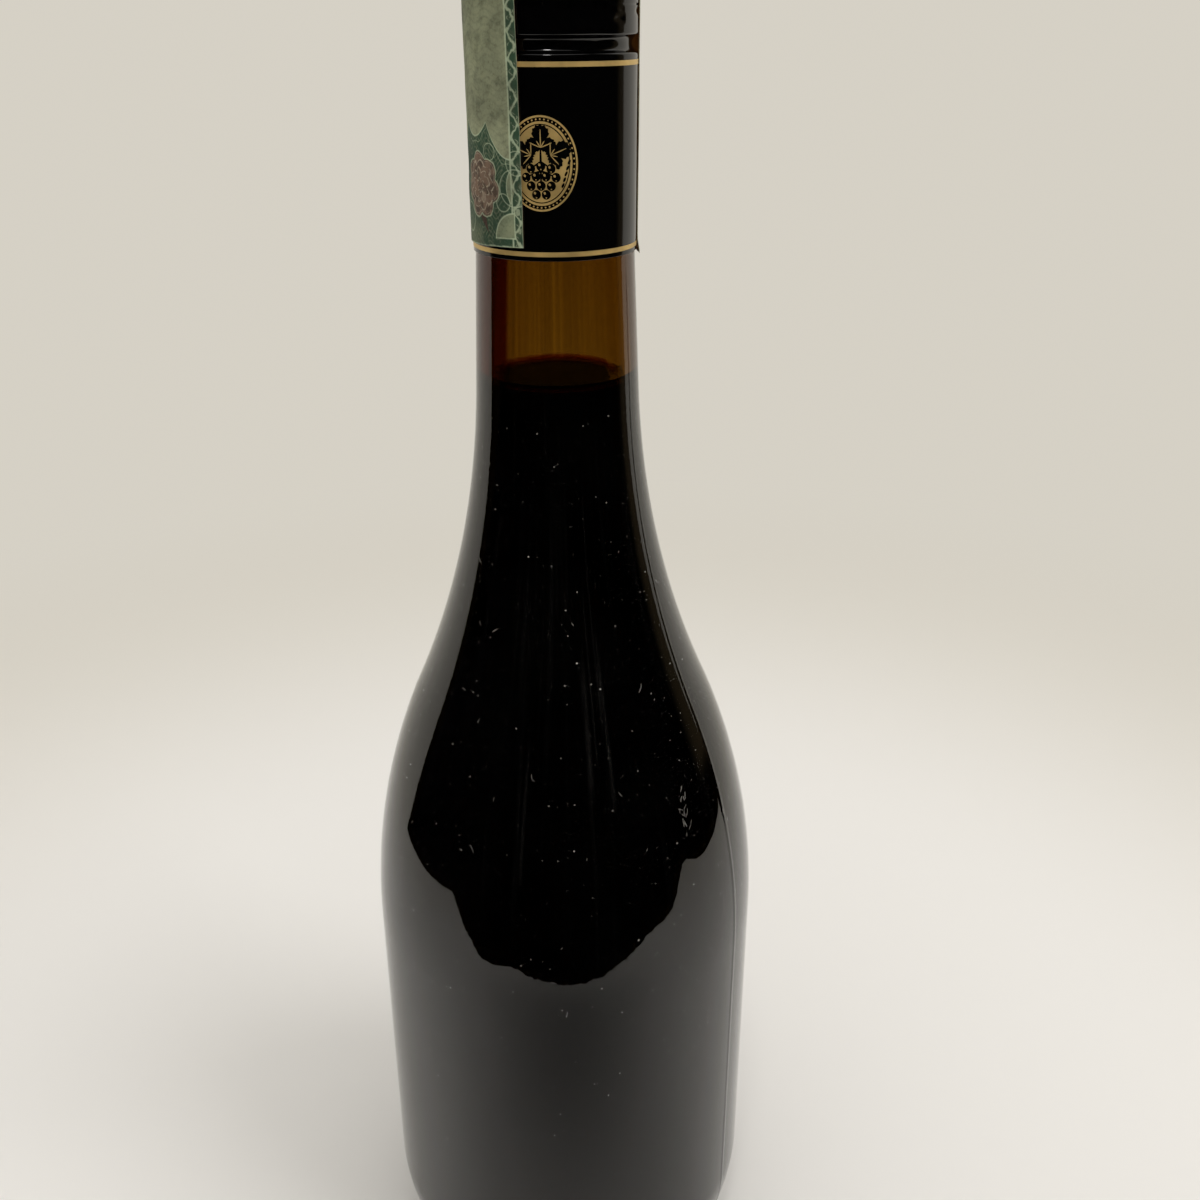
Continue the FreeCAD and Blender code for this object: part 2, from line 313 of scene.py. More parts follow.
class GlassForm:
    """Centres and angles of the bottle's half section."""

    def __init__(self, size, cap):
        self.size = size
        self.heel = (size.body_radius - size.heel_radius, size.heel_height)
        rise = size.heel_height - size.foot_radius
        reach = math.sqrt((size.heel_radius - size.foot_radius) ** 2 - rise**2)
        self.foot = (self.heel[0] + reach, size.foot_radius)
        self.foot_angle = bearing(self.heel, self.foot)
        self.ring = (self.foot[0] - size.ring_width, size.ring_inner_radius)
        height = size.punt_height
        self.punt_radius = (self.ring[0] ** 2 + height**2 - 2 * size.ring_inner_radius * height) / (
            2 * height
        )
        self.punt = (0.0, height - self.punt_radius)
        self.punt_angle = bearing(self.punt, self.ring)
        self.shoulder = (size.body_radius - size.shoulder_radius, size.body_height)
        neck_foot_radius = size.neck_radius + size.neck_length * math.tan(size.neck_taper)
        sweep_x = neck_foot_radius + size.sweep_radius * math.cos(size.neck_taper)
        span = size.shoulder_radius + size.sweep_radius
        sweep_rise = math.sqrt(span**2 - (sweep_x - self.shoulder[0]) ** 2)
        self.sweep = (sweep_x, size.body_height + sweep_rise)
        self.shoulder_angle = bearing(self.shoulder, self.sweep)
        self.groove_foot = cap.edge + cap.groove_centre - groove_half(cap)

    def shoulder_points(self, inset):
        """The shoulder's two curves, moved into the glass by inset."""
        size = self.size
        bulge = arc(self.shoulder, size.shoulder_radius - inset, 0, self.shoulder_angle, 26)
        sweep = arc(
            self.sweep,
            size.sweep_radius + inset,
            math.pi + self.shoulder_angle,
            math.pi + size.neck_taper,
            30,
        )
        return bulge + sweep[1:]

    def outside(self):
        """From the punt's top, round the foot and up to the rim."""
        size = self.size
        points = arc(self.punt, self.punt_radius, math.pi / 2, self.punt_angle, 22)
        begin, end = self.punt_angle + math.pi, 1.5 * math.pi
        points += arc(self.ring, size.ring_inner_radius, begin, end, 8)
        points += arc(self.foot, size.foot_radius, -math.pi / 2, self.foot_angle, 10)
        points += arc(self.heel, size.heel_radius, self.foot_angle, 0, 18)[1:]
        points += run(points[-1], (size.body_radius, size.body_height), 12)
        points += self.shoulder_points(0)[1:]
        points += run(points[-1], (size.neck_radius, CAP_BOX[0][2]), 8)
        middle = (size.mouth_radius + size.locking_radius) / 2
        lock = self.groove_foot + 3.6 * MM
        points += run(points[-1], (size.mouth_radius, self.groove_foot), 6)
        points += [
            (size.mouth_radius, lock),
            (middle, lock + 0.6 * MM),
            (size.locking_radius, lock + 1.5 * MM),
            (middle, lock + 2.4 * MM),
            (size.mouth_radius, lock + 3 * MM),
        ]
        rounding = 1 * MM
        points += arc(
            (size.mouth_radius - rounding, size.rim - rounding), rounding, 0, math.pi / 2, 6
        )
        return points

    def inside(self, grow=0.0):
        """From the dome over the punt up the inner wall to the rim, grown into the glass."""
        size = self.size
        inset = size.body_wall - grow
        wall = size.heel_radius - inset
        dome = self.punt_radius + size.base_wall - grow
        corner_radius = size.corner_radius + grow
        reach_a = self.punt_radius + size.base_wall + size.corner_radius
        reach_b = size.heel_radius - size.body_wall - size.corner_radius
        apart = math.dist(self.punt, self.heel)
        along = (reach_a**2 - reach_b**2 + apart**2) / (2 * apart)
        side = math.acos(along / reach_a)
        corner = around(self.punt, reach_a, bearing(self.punt, self.heel) - side)
        dome_angle = bearing(self.punt, corner)
        heel_angle = bearing(self.heel, corner)
        points = arc(self.punt, dome, math.pi / 2, dome_angle, 22)
        points += arc(corner, corner_radius, dome_angle + math.pi, heel_angle + FULL_TURN, 10)[1:]
        points += arc(self.heel, wall, heel_angle, 0, 14)[1:]
        points += run(points[-1], (size.body_radius - inset, size.body_height), 8)
        points += self.shoulder_points(inset)[1:]
        return points


def groove_half(cap):
    """Half the height of the cap's groove."""
    reach = cap.groove_radius + cap.groove_edge_radius
    return math.sqrt(reach**2 - (reach - cap.groove_depth) ** 2)


# ---------------------------------------------------------------- modelling by operators


def to_object_mode():
    """Close edit mode."""
    if bpy.context.object and bpy.context.object.mode != "OBJECT":
        bpy.ops.object.mode_set(mode="OBJECT")


def deselect():
    """Select nothing."""
    to_object_mode()
    bpy.ops.object.select_all(action="DESELECT")


def pick(*pieces):
    """Select these pieces alone; the last one is active."""
    deselect()
    for piece in pieces:
        piece.select_set(True)
    bpy.context.view_layer.objects.active = pieces[-1]


def edit(piece):
    """Open a piece in edit mode with everything selected."""
    pick(piece)
    bpy.ops.object.mode_set(mode="EDIT")
    bpy.ops.mesh.select_mode(type="VERT")
    bpy.ops.mesh.select_all(action="SELECT")


def place_in_mesh(piece):
    """Put the piece's place into its mesh, with the object at the origin."""
    pick(piece)
    bpy.ops.object.transform_apply(location=True, rotation=True, scale=True)


def smooth(piece, angle=None):
    """Shade smooth, with edges sharper than the angle in degrees left sharp."""
    pick(piece)
    if angle is None:
        bpy.ops.object.shade_smooth()
    else:
        bpy.ops.object.shade_smooth_by_angle(angle=math.radians(angle))


def select_where(piece, test, kind="verts"):
    """In edit mode, select the vertices or the faces whose place passes the test."""
    mesh = bmesh.from_edit_mesh(piece.data)
    for part in (*mesh.faces, *mesh.edges, *mesh.verts):
        part.select_set(False)
    for part in getattr(mesh, kind):
        place = part.co if kind == "verts" else part.calc_center_median()
        if test(place):
            part.select_set(True)
    mesh.select_flush_mode()
    bmesh.update_edit_mesh(piece.data)


def face_outwards(piece, inwards=False):
    """Make all faces of a closed piece point outwards, or a room's faces inwards."""
    edit(piece)
    bpy.ops.mesh.normals_make_consistent(inside=inwards)
    to_object_mode()


def started_line(name, places):
    """Extrude one vertex from place to place; the piece stays open in edit mode."""
    deselect()
    bpy.ops.mesh.primitive_plane_add(size=MM, location=places[0])
    piece = bpy.context.object
    piece.name = piece.data.name = name
    edit(piece)
    bpy.ops.mesh.merge(type="CENTER")
    for start, end in zip(places, places[1:]):
        step = tuple(b - a for a, b in zip(start, end))
        bpy.ops.mesh.extrude_vertices_move(TRANSFORM_OT_translate={"value": step})
    return piece


def drawn_line(name, points):
    """A line through the points of a half section."""
    piece = started_line(name, [(x, 0, z) for x, z in points])
    place_in_mesh(piece)
    return piece


def turned_piece(name, points, steps, closed=False):
    """Turn a half section about the upright axis."""
    piece = drawn_line(name, points + points[:1] if closed else points)
    edit(piece)
    bpy.ops.mesh.remove_doubles(threshold=SAME_PLACE)
    bpy.ops.mesh.select_all(action="SELECT")
    bpy.ops.mesh.spin(steps=steps, angle=FULL_TURN, center=(0, 0, 0), axis=(0, 0, 1))
    bpy.ops.mesh.select_all(action="SELECT")
    bpy.ops.mesh.remove_doubles(threshold=SPUN_GAP)
    bpy.ops.mesh.select_all(action="SELECT")
    bpy.ops.mesh.normals_make_consistent(inside=False)
    to_object_mode()
    return piece


def spun_from(piece, azimuth, width, steps):
    """Spin what is selected by width, so that it ends at azimuth."""
    bpy.ops.mesh.spin(steps=steps, angle=width, center=(0, 0, 0), axis=(0, 0, 1))
    pick(piece)
    piece.rotation_euler = (0, 0, azimuth - math.pi / 2)
    place_in_mesh(piece)


def flat_sheet(name, points, height):
    """A flat face through points of the floor's plane."""
    piece = started_line(name, [(x, y, height) for x, y in points])
    bpy.ops.mesh.select_all(action="SELECT")
    bpy.ops.mesh.edge_face_add()
    place_in_mesh(piece)
    return piece


def smooth_step(start, end, value):
    """0 before start and 1 after end, with a smooth step between."""
    share = min(1.0, max(0.0, (value - start) / (end - start)))
    return share * share * (3 - 2 * share)


def reshape(piece, move):
    """Move every vertex to the place that move gives for it."""
    for vertex in piece.data.vertices:
        vertex.co = move(vertex.co)
    piece.data.update()


def azimuth_of(place):
    """Azimuth about the axis, from the front towards +X."""
    return math.atan2(place.x, -place.y)


def at_azimuth(radius, azimuth, height):
    """The place at this distance from the axis, azimuth and height."""
    return Vector((radius * math.sin(azimuth), -radius * math.cos(azimuth), height))


def pushed(place, amount):
    """The place moved away from the axis."""
    radius = math.hypot(place.x, place.y)
    if radius < 1e-6:
        return place
    scale = (radius + amount) / radius
    return Vector((place.x * scale, place.y * scale, place.z))


def dress(piece, material, replaces=None):
    """Give a finished piece its material and its place in the frame."""
    piece.data.materials.clear()
    piece.data.materials.append(material)
    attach(piece, "root")
    if replaces:
        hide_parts(replaces)
    return piece


# ---------------------------------------------------------------- materials


class Field:
    """A value of a material's nodes, with arithmetic that adds Math nodes."""

    def __init__(self, nodes, socket):
        self.nodes, self.socket = nodes, socket

    def math(self, operation, *others):
        return self.nodes.add("ShaderNodeMath", {"operation": operation}, [self, *others]).out(0)

    def reflected(self, operation, first):
        """The same with this field as the second value."""
        return self.nodes.add("ShaderNodeMath", {"operation": operation}, [first, self]).out(0)

    def __add__(self, other):
        return self.math("ADD", other)

    __radd__ = __add__

    def __sub__(self, other):
        return self.math("SUBTRACT", other)

    def __rsub__(self, other):
        return self.reflected("SUBTRACT", other)

    def __mul__(self, other):
        return self.math("MULTIPLY", other)

    __rmul__ = __mul__

    def __truediv__(self, other):
        return self.math("DIVIDE", other)

    def __rtruediv__(self, other):
        return self.reflected("DIVIDE", other)

    def __neg__(self):
        return self.math("MULTIPLY", -1.0)

    def __pow__(self, other):
        return self.math("POWER", other)

    def __rpow__(self, other):
        return self.reflected("POWER", other)

    def __abs__(self):
        return self.math("ABSOLUTE")

    def sin(self):
        return self.math("SINE")

    def cos(self):
        return self.math("COSINE")

    def sqrt(self):
        return self.math("SQRT")

    def at_least(self, other):
        return self.math("MAXIMUM", other)

    def at_most(self, other):
        return self.math("MINIMUM", other)

    def angle_to(self, other):
        """The angle of the point (other, self)."""
        return self.math("ARCTAN2", other)

    def rise(self, start, end):
        """0 before start and 1 after end, with a smooth step between; end may be the lower."""
        low, high, flip = (start, end, False) if start < end else (end, start, True)
        node = self.nodes.add(
            "ShaderNodeMapRange",
            {"interpolation_type": "SMOOTHSTEP", "clamp": True},
            {"Value": self, "From Min": low, "From Max": high,
             "To Min": 1.0 if flip else 0.0, "To Max": 0.0 if flip else 1.0},
        )
        return node.out("Result")


class Made:
    """A node that was added, for its outputs."""

    def __init__(self, nodes, node):
        self.nodes, self.node = nodes, node

    def out(self, name):
        return Field(self.nodes, self.node.outputs[name])


class Nodes:
    """The nodes of one material."""

    def __init__(self, name):
        self.material = bpy.data.materials.new(name)
        self.material.use_nodes = True
        self.tree = self.material.node_tree
        self.tree.nodes.clear()
        self.output = self.tree.nodes.new("ShaderNodeOutputMaterial")

    def add(self, kind, settings=None, inputs=None):
        """Any node: its settings first, then its sockets' values or links."""
        node = self.tree.nodes.new(kind)
        for name, setting in (settings or {}).items():
            setattr(node, name, setting)
        pairs = enumerate(inputs) if isinstance(inputs, (list, tuple)) else (inputs or {}).items()
        for name, given in pairs:
            self.feed(node.inputs[name], given)
        return Made(self, node)

    def feed(self, socket, given):
        if isinstance(given, Field):
            self.tree.links.new(given.socket, socket)
        elif hasattr(given, "__len__"):
            values = list(given)
            socket.default_value = values + [1.0] if socket.type == "RGBA" else values
        else:
            socket.default_value = given

    def mix(self, share, first, second):
        """A colour between two colours."""
        node = self.add(
            "ShaderNodeMix",
            {"data_type": "RGBA", "clamp_factor": True},
            {0: share, 6: first, 7: second},
        )
        return node.out(2)

    def object_place(self):
        return self.add("ShaderNodeTexCoord").out("Object")

    def split(self, vector):
        node = self.add("ShaderNodeSeparateXYZ", None, [vector])
        return [node.out(axis) for axis in "XYZ"]

    def join(self, x, y, z):
        return self.add("ShaderNodeCombineXYZ", None, [x, y, z]).out(0)

    def noise(self, place, scale, detail=3.0, roughness=0.5):
        node = self.add(
            "ShaderNodeTexNoise",
            {"noise_dimensions": "3D"},
            {"Vector": place, "Scale": scale, "Detail": detail, "Roughness": roughness},
        )
        return node.out("Fac")

    def cells(self, place, scale):
        """Distance from the middle of the nearest cell."""
        node = self.add("ShaderNodeTexVoronoi", None, {"Vector": place, "Scale": scale})
        return node.out("Distance")

    def bump(self, height, strength, distance):
        node = self.add(
            "ShaderNodeBump", None, {"Strength": strength, "Distance": distance, "Height": height}
        )
        return node.out("Normal")

    def surface(self, shader):
        self.tree.links.new(shader.socket, self.output.inputs["Surface"])

    def absorb(self, tone, density):
        """Let the inside of the piece take up light."""
        kind = "ShaderNodeVolumeAbsorption"
        shader = self.add(kind, None, {"Color": tone, "Density": density}).out("Volume")
        self.tree.links.new(shader.socket, self.output.inputs["Volume"])

    def glow(self, tone):
        """A plain light of this colour at strength 1."""
        return self.add("ShaderNodeEmission", None, {"Color": tone, "Strength": 1.0}).out(0)

    def blend(self, share, first, second):
        """A surface between two surfaces."""
        return self.add("ShaderNodeMixShader", None, [share, first, second]).out(0)

    def attribute(self, name, output):
        return self.add("ShaderNodeAttribute", {"attribute_name": name}).out(output)

    def principled(self, **inputs):
        named = {name.replace("_", " "): given for name, given in inputs.items()}
        return self.add("ShaderNodeBsdfPrincipled", None, named).out("BSDF")

    def finished(self, **inputs):
        """The material, with one principled surface."""
        self.surface(self.principled(**inputs))
        return self.material


def distance(x, y):
    """How far the point (x, y) of two values lies from the origin."""
    return (x * x + y * y).sqrt()


def tinted(tone, share):
    """A lighter or darker tone."""
    return [channel * share for channel in tone]


def glass_material(tones):
    nodes = Nodes("amber_bottle_glass")
    place = nodes.object_place()
    x, y, z = nodes.split(place)
    azimuth = x.angle_to(-y)
    ring = distance(x, y) + 1e-5
    round_x, round_y = x / ring, y / ring
    streak_place = nodes.join(round_x * 14.0, round_y * 14.0, z * 9.0)
    streaks = nodes.noise(streak_place, 1.6, 4.0, 0.6).rise(0.52, 0.78)
    film = nodes.noise(place, 60.0, 5.0, 0.62).rise(0.35, 0.85)
    shine = 0.004 + film * 0.018 + streaks * 0.02
    columns = nodes.noise(nodes.join(round_x * 7.0, round_y * 7.0 + 3.0, z * 4.0), 1.2, 4.0, 0.7)
    threads = nodes.noise(nodes.join(round_x * 46.0, round_y * 46.0, z * 5.0), 1.0, 2.0)
    # darker upright columns in the glass's tint, in the neck only
    neck_columns = columns.rise(0.60, 0.38) * 0.42 + threads.rise(0.66, 0.54) * 0.22
    neck_columns = neck_columns * z.rise(0.185, 0.22)
    deeper = [channel * share for channel, share in zip(tones.glass_tint, (0.52, 0.46, 0.40))]
    glass = nodes.principled(
        Base_Color=nodes.mix(neck_columns, tones.glass_tint, deeper),
        Roughness=shine,
        IOR=GLASS_IOR,
        Transmission_Weight=1.0,
    )
    dust = nodes.principled(Base_Color=tones.dust, Roughness=0.95)
    patches = nodes.noise(place, 90.0, 4.0, 0.6)
    specks = nodes.cells(place, 1500.0).rise(0.17, 0.05) * patches.rise(0.40, 0.70)
    above = z.rise(0.045, 0.10) * z.rise(0.235, 0.200)
    smears = 0.0
    for centre, low, high, half in SMEARS:
        across = abs(azimuth - math.radians(centre) - (z * 90.0).sin() * 0.006)
        reach = math.radians(half)
        upright = z.rise(low - 0.006, low) * z.rise(high + 0.010, high)
        smears = across.rise(reach, reach * 0.2) * upright + smears
    haze = film * 0.0012 + streaks * 0.003 + specks * 0.05
    haze = haze * (0.10 + above * 0.90) + smears * (0.3 + patches) * 0.006
    nodes.surface(nodes.blend(haze, glass, dust))
    nodes.absorb(tones.glass_depth, GLASS_DENSITY)
    return nodes.material


def liqueur_material(tones, name, ior):
    """The drink in depth; against the glass it bends light by its own share only."""
    nodes = Nodes(name)
    place = nodes.object_place()
    cloud = nodes.noise(place, 35.0, 3.0)
    deep = tinted(tones.liqueur, 0.55)
    return nodes.finished(
        Base_Color=nodes.mix(cloud, deep, tones.liqueur), Roughness=0.03 + cloud * 0.02, IOR=ior
    )


def thin_liqueur_material(tones, name, density, ior):
    """Thin drink, which light still passes."""
    nodes = Nodes(name)
    place = nodes.object_place()
    cloud = nodes.noise(place, 160.0, 2.0)
    nodes.absorb(tones.liqueur_edge, density)
    return nodes.finished(
        Base_Color=(1.0, 1.0, 1.0),
        Roughness=0.01 + cloud * 0.02,
        IOR=ior,
        Transmission_Weight=1.0,
    )


def lacquer_material(tones):
    nodes = Nodes("black_cap_lacquer")
    place = nodes.object_place()
    x, y, z = nodes.split(place)
    cloud = nodes.noise(place, 90.0, 4.0, 0.6)
    azimuth = x.angle_to(-y)
    turned_place = nodes.join(azimuth * 30.0, z * 2600.0, 0.0)
    scuffs = nodes.noise(turned_place, 1.0, 3.0, 0.7).rise(0.66, 0.80)
    patch = nodes.noise(place, 45.0, 2.0).rise(0.45, 0.65)
    wear = scuffs * patch
    worn = [channel * 6.0 + 0.006 for channel in tones.lacquer]
    height = nodes.noise(place, 900.0, 2.0) * 0.3 + nodes.noise(place, 160.0, 2.0)
    return nodes.finished(
        Base_Color=nodes.mix(wear, tones.lacquer, worn),
        Roughness=0.075 + cloud * 0.05 + wear * 0.15,
        IOR=LACQUER_IOR,
        Normal=nodes.bump(height, 0.12, 0.03 * MM),
    )


def gold_material(tones):
    nodes = Nodes("gold_print")
    place = nodes.object_place()
    grain = nodes.noise(place, 2600.0, 3.0, 0.6)
    cloud = nodes.noise(place, 170.0, 3.0, 0.6)
    dark = tinted(tones.gold, 0.62)
    return nodes.finished(
        Base_Color=nodes.mix(cloud.rise(0.3, 0.7), dark, tones.gold),
        Roughness=0.34 + grain * 0.2,
        Metallic=0.35 + grain * 0.2,
        Normal=nodes.bump(grain, 0.25, 0.02 * MM),
    )


def ink_material(tones):
    nodes = Nodes("black_ink")
    place = nodes.object_place()
    cloud = nodes.noise(place, 400.0, 3.0)
    light = tinted(tones.lacquer, 2.2)
    return nodes.finished(
        Base_Color=nodes.mix(cloud, tones.lacquer, light),
        Roughness=0.2 + cloud * 0.1,
        IOR=LACQUER_IOR,
    )


def dust_material(tones):
    nodes = Nodes("dust")
    place = nodes.object_place()
    cloud = nodes.noise(place, 300.0, 2.0)
    dark = tinted(tones.dust, 0.45)
    return nodes.finished(
        Base_Color=nodes.mix(cloud.rise(0.35, 0.65), dark, tones.dust), Roughness=0.95
    )


def paper_material(tones):
    """Printed paper. The print is laid out in millimetres: across the strip from its middle,
    along it from the nearer end, and along it from the front end."""
    nodes = Nodes("printed_strip_paper")
    place = nodes.object_place()
    across, along, way = nodes.split(nodes.attribute("print_place", "Vector"))
    blot = nodes.noise(place, 420.0, 4.0, 0.65)
    wash = nodes.noise(place, 120.0, 2.0)
    fibre = nodes.noise(place, 2600.0, 3.0, 0.6)

    def near(value, half, soft=0.06):
        """1 where a distance is under half, with a soft edge."""
        return abs(value).rise(half + soft, half - soft)

    # the pale panel, with its scalloped end and a wavy ground, darker in blotches and towards the
    # cap's top
    off_axis = abs(across - PRINT_MIDDLE)
    hump = 18.0 + (off_axis / 3.7) ** 2.0 * 2.4
    sweep = 14.6 + ((PANEL_HALF - off_axis).at_least(0.0) / 5.5) ** 2.2 * 5.8
    edge = along - (sweep + (hump - sweep) * off_axis.rise(3.75, 3.65))
    panel = edge.rise(-0.08, 0.08) * off_axis.rise(PANEL_HALF + 0.05, PANEL_HALF - 0.05)
    ripple = ((along + (across * 1.2).sin() * 0.5) * 5.4).sin().rise(0.3, 0.9)
    pale = nodes.mix(
        (ripple * 0.14 + blot.rise(0.40, 0.62) * 0.30 + along.rise(22.0, 44.0) * 0.30).at_most(1.0),
        tones.paper,
        tones.paper_shade,
    )

    # the green ground of the ends, woven of fine lines
    weave = ((along + (across * 1.7).sin() * 0.7) * 7.4).sin().rise(0.1, 0.9)
    cross = ((across * 1.1 + (along * 1.3).sin() * 0.7) * 6.0).sin().rise(0.3, 0.95)
    deep = tinted(tones.paper_green, 0.74)
    ground = nodes.mix((weave * 0.30 + cross * 0.24) * blot.rise(0.36, 0.60), deep, tones.paper)
    corner = across.rise(2.0, -1.0) * along.rise(5.5, 1.5)
    ground = nodes.mix(corner * 0.5, ground, nodes.mix(0.45, tones.paper_shade, tones.paper))
    colour_now = nodes.mix(panel, ground, pale)
    trail = near(edge, 0.13) + near(edge + 1.0 + (across * 2.2).sin() * 0.25, 0.07) * 0.6
    light = trail * off_axis.rise(9.4, 9.2)

    # scrolls of light line in the green ground
    for centre, height, radius, width in SCROLLS:
        out = distance(across - centre, along - height) - radius
        light = light + near(out, width) * (1 - panel) * 0.8

    # border bands with running curls
    border = off_axis.rise(PANEL_HALF - 0.05, PANEL_HALF + 0.05)
    flow = nodes.noise(nodes.join(across * 0.9, along * 0.55, 0.0), 1.0, 2.0)
    curl = near(off_axis - 10.05 - (along * 1.55 + flow * 3.0).sin() * 0.62, 0.22, 0.14)
    sprays = near((off_axis - BORDER_MIDDLE) * 1.4 + (along * 3.1 + 1.0).sin() * 0.8, 0.10, 0.16)
    curl = curl.at_least(sprays * flow.rise(0.46, 0.56) * 0.8)
    curl = curl.at_least(flow.rise(0.60, 0.66) * near(off_axis - BORDER_MIDDLE, 0.6, 0.2) * 0.7)
    ribbon = nodes.mix(flow.rise(0.4, 0.7) * 0.5, deep, tones.paper_shade)
    colour_now = nodes.mix(border, colour_now, ribbon)
    light = light + near(off_axis - 9.1, 0.16) + border * curl

    # the brown rosette with its scalloped rim
    dx, dy = across - 0.5, (along - 9.9) * 0.93
    out = distance(dx, dy)
    angle = dy.angle_to(dx)
    ragged = nodes.noise(nodes.join(across * 0.5, along * 0.5, 2.0), 1.0, 2.0)
    rim = out - (3.95 + abs((angle * 3.5 + 0.6).cos()) * 0.85 + ragged * 0.9)
    rosette = rim.rise(0.07, -0.07)
    petals = abs((angle * 4.5 + out * 0.8 + ragged * 3.0).sin())
    lines = near(out - (3.2 + petals * 0.75), 0.13) + near(out - (1.9 + petals * 0.9), 0.12)
    lines = lines + near(out - (0.7 + petals * 0.5), 0.11) + near(rim + 0.45, 0.07) * 0.7
    spokes = near((angle * 9.0).sin(), 0.10, 0.12) * out.rise(2.0, 3.4)
    dark = (nodes.noise(place, 700.0, 3.0, 0.6).rise(0.44, 0.60) * 0.8 + spokes * 0.3).at_most(1.0)
    brown = nodes.mix(dark, tones.paper_brown, tinted(tones.paper_brown, 0.34))
    brown = nodes.mix((lines * blot.rise(0.36, 0.52) * 0.85).at_most(1.0), brown, tones.paper_blush)
    pale_heart = nodes.noise(place, 380.0, 2.0).rise(0.54, 0.66) * out.rise(3.4, 2.0)
    brown = nodes.mix(pale_heart * 0.45, brown, tones.paper_blush)
    colour_now = nodes.mix(rosette, colour_now, brown)
    light = light * (1 - rosette) + near(rim, 0.12) * 0.9

    # the dark red drop under it
    fall = (5.0 - along) / 2.9
    drop = (abs(across - (0.9 + fall * 1.7)) - (1 - fall) * 1.0).rise(0.08, -0.08)
    drop = drop * fall.rise(-0.02, 0.02) * fall.rise(1.02, 0.98) * (1 - rosette)
    colour_now = nodes.mix(drop * 0.85, colour_now, tones.paper_red)

    # the pale quarter round and the lens beside the border
    dx, dy = 8.7 - across, along - 1.5
    out = distance(dx, dy)
    quarter = out.rise(4.25, 4.15) * dx.rise(0.0, 0.1) * dy.rise(0.0, 0.1)
    lens = abs(across - 8.05) / 0.78 + ((along - 9.95) / 2.65) ** 2.0
    field = nodes.mix(0.22 + blot.rise(0.4, 0.6) * 0.2, tones.paper, tones.paper_green)
    colour_now = nodes.mix((quarter + lens.rise(1.05, 0.95)).at_most(1.0), colour_now, field)
    outline = near(out - 4.2, 0.13) + near(dx, 0.12) + near(dy, 0.12)
    outline = outline * out.rise(4.4, 4.3) * dx.rise(-0.15, -0.1) * dy.rise(-0.15, -0.1)
    light = light * (1 - quarter) + outline
    light = light + near(lens - 1.0, 0.12, 0.08) * (1 - border)

    # a ring of fine line over the cap's top
    middle = way - STRIP_MIDDLE / MM
    out = distance(across, middle)
    angle = middle.angle_to(across)
    ring = ((out * 4.2 + (angle * 12.0).sin() * 0.9).sin()).rise(0.1, 0.8) * out.rise(7.6, 7.4)
    colour_now = nodes.mix(ring * 0.7, colour_now, tones.paper_green)

    # the light lines, the frayed edges, the grime and the bare back
    light = (light * (0.55 + blot * 0.6)).at_most(1.0) * 0.85
    colour_now = nodes.mix(light, colour_now, tones.paper_light)
    frayed = (along + nodes.noise(place, 900.0, 3.0) * 0.6).rise(0.62, 0.38)
    frayed_side = (abs(across) - nodes.noise(place, 900.0, 2.0) * 0.3).rise(9.88, 10.0)
    frayed = frayed.at_least(frayed_side * 0.8)
    colour_now = nodes.mix(frayed * 0.6, colour_now, tones.paper_light)
    grime = wash.rise(0.35, 0.66) * 0.35 + fibre.rise(0.50, 0.72) * 0.30
    grime = grime + blot.rise(0.52, 0.70) * 0.25
    worn = nodes.mix(grime, colour_now, nodes.mix(0.75, colour_now, (0.015, 0.018, 0.010)))
    back = nodes.attribute("paper_back", "Fac")
    worn = nodes.mix(back, worn, nodes.mix(blot, tones.paper_back, tinted(tones.paper_back, 0.6)))
    crumple = nodes.noise(place, 230.0, 3.0, 0.5)
    return nodes.finished(
        Base_Color=worn,
        Subsurface_Weight=0.35,
        Subsurface_Radius=(1.0, 0.85, 0.65),
        Subsurface_Scale=0.6 * MM,
        Roughness=0.62 + fibre * 0.25,
        Normal=nodes.bump(fibre * 0.5 + blot * 0.8 + crumple * 3.0, 0.5, 0.1 * MM),
    )


def floor_material(tones):
    """A pale floor; far off, what the lens, gloss and glass see is the plain backdrop colour."""
    nodes = Nodes("studio_floor")
    x, y, z = nodes.split(nodes.object_place())
    share = (z.rise(0.0, 0.5) + distance(x, y).rise(0.17, 0.55)).at_most(1.0)
    floor = nodes.principled(
        Base_Color=nodes.mix(share, tones.floor, tones.wall), Roughness=0.9, Specular_IOR_Level=0.1
    )
    plain = nodes.glow(tones.wall)
    rays = nodes.add("ShaderNodeLightPath")
    seen = rays.out("Is Camera Ray").at_least(rays.out("Is Glossy Ray"))
    seen = seen.at_least(rays.out("Is Transmission Ray"))
    nodes.surface(nodes.blend(seen * share, floor, plain))
    return nodes.material


def room_reflection_material():
    """Painted reflection of the unlit room: black, with a dim brown painted glow at its right end.
    """
    nodes = Nodes("studio_flag")
    x, y = nodes.split(nodes.object_place())[:2]
    azimuth = x.angle_to(-y)
    far = distance(x, y).rise(0.6, 1.0)
    # painted glow at the far right end, which the glass shows as a painted reflection
    brown = azimuth.rise(math.radians(93), math.radians(103)) * far
    nodes.surface(nodes.glow(nodes.mix(brown, BLACK, PAINTED_GLOW_BROWN)))
    return nodes.material


def painted_shadow_material():
    """A painted shadow on the table that only reflections and the glass see: a soft grey patch,
    darkest in its middle.
    """
    nodes = Nodes("studio_shade")
    x, y = nodes.split(nodes.object_place())[:2]
    out = ((x * x) * 0.5 + (y + 0.135) * (y + 0.135)).sqrt()
    clear = nodes.add("ShaderNodeBsdfTransparent").out(0)
    share = out.rise(0.125, 0.0) * 0.62
    nodes.surface(nodes.blend(share, clear, nodes.glow(BLACK)))
    return nodes.material


# ---------------------------------------------------------------- operators


def settings():
    """The sizes and colours of the scene, by short name."""
    scene = bpy.context.scene
    return {name.split("_")[1]: getattr(scene, name) for name in GROUPS}


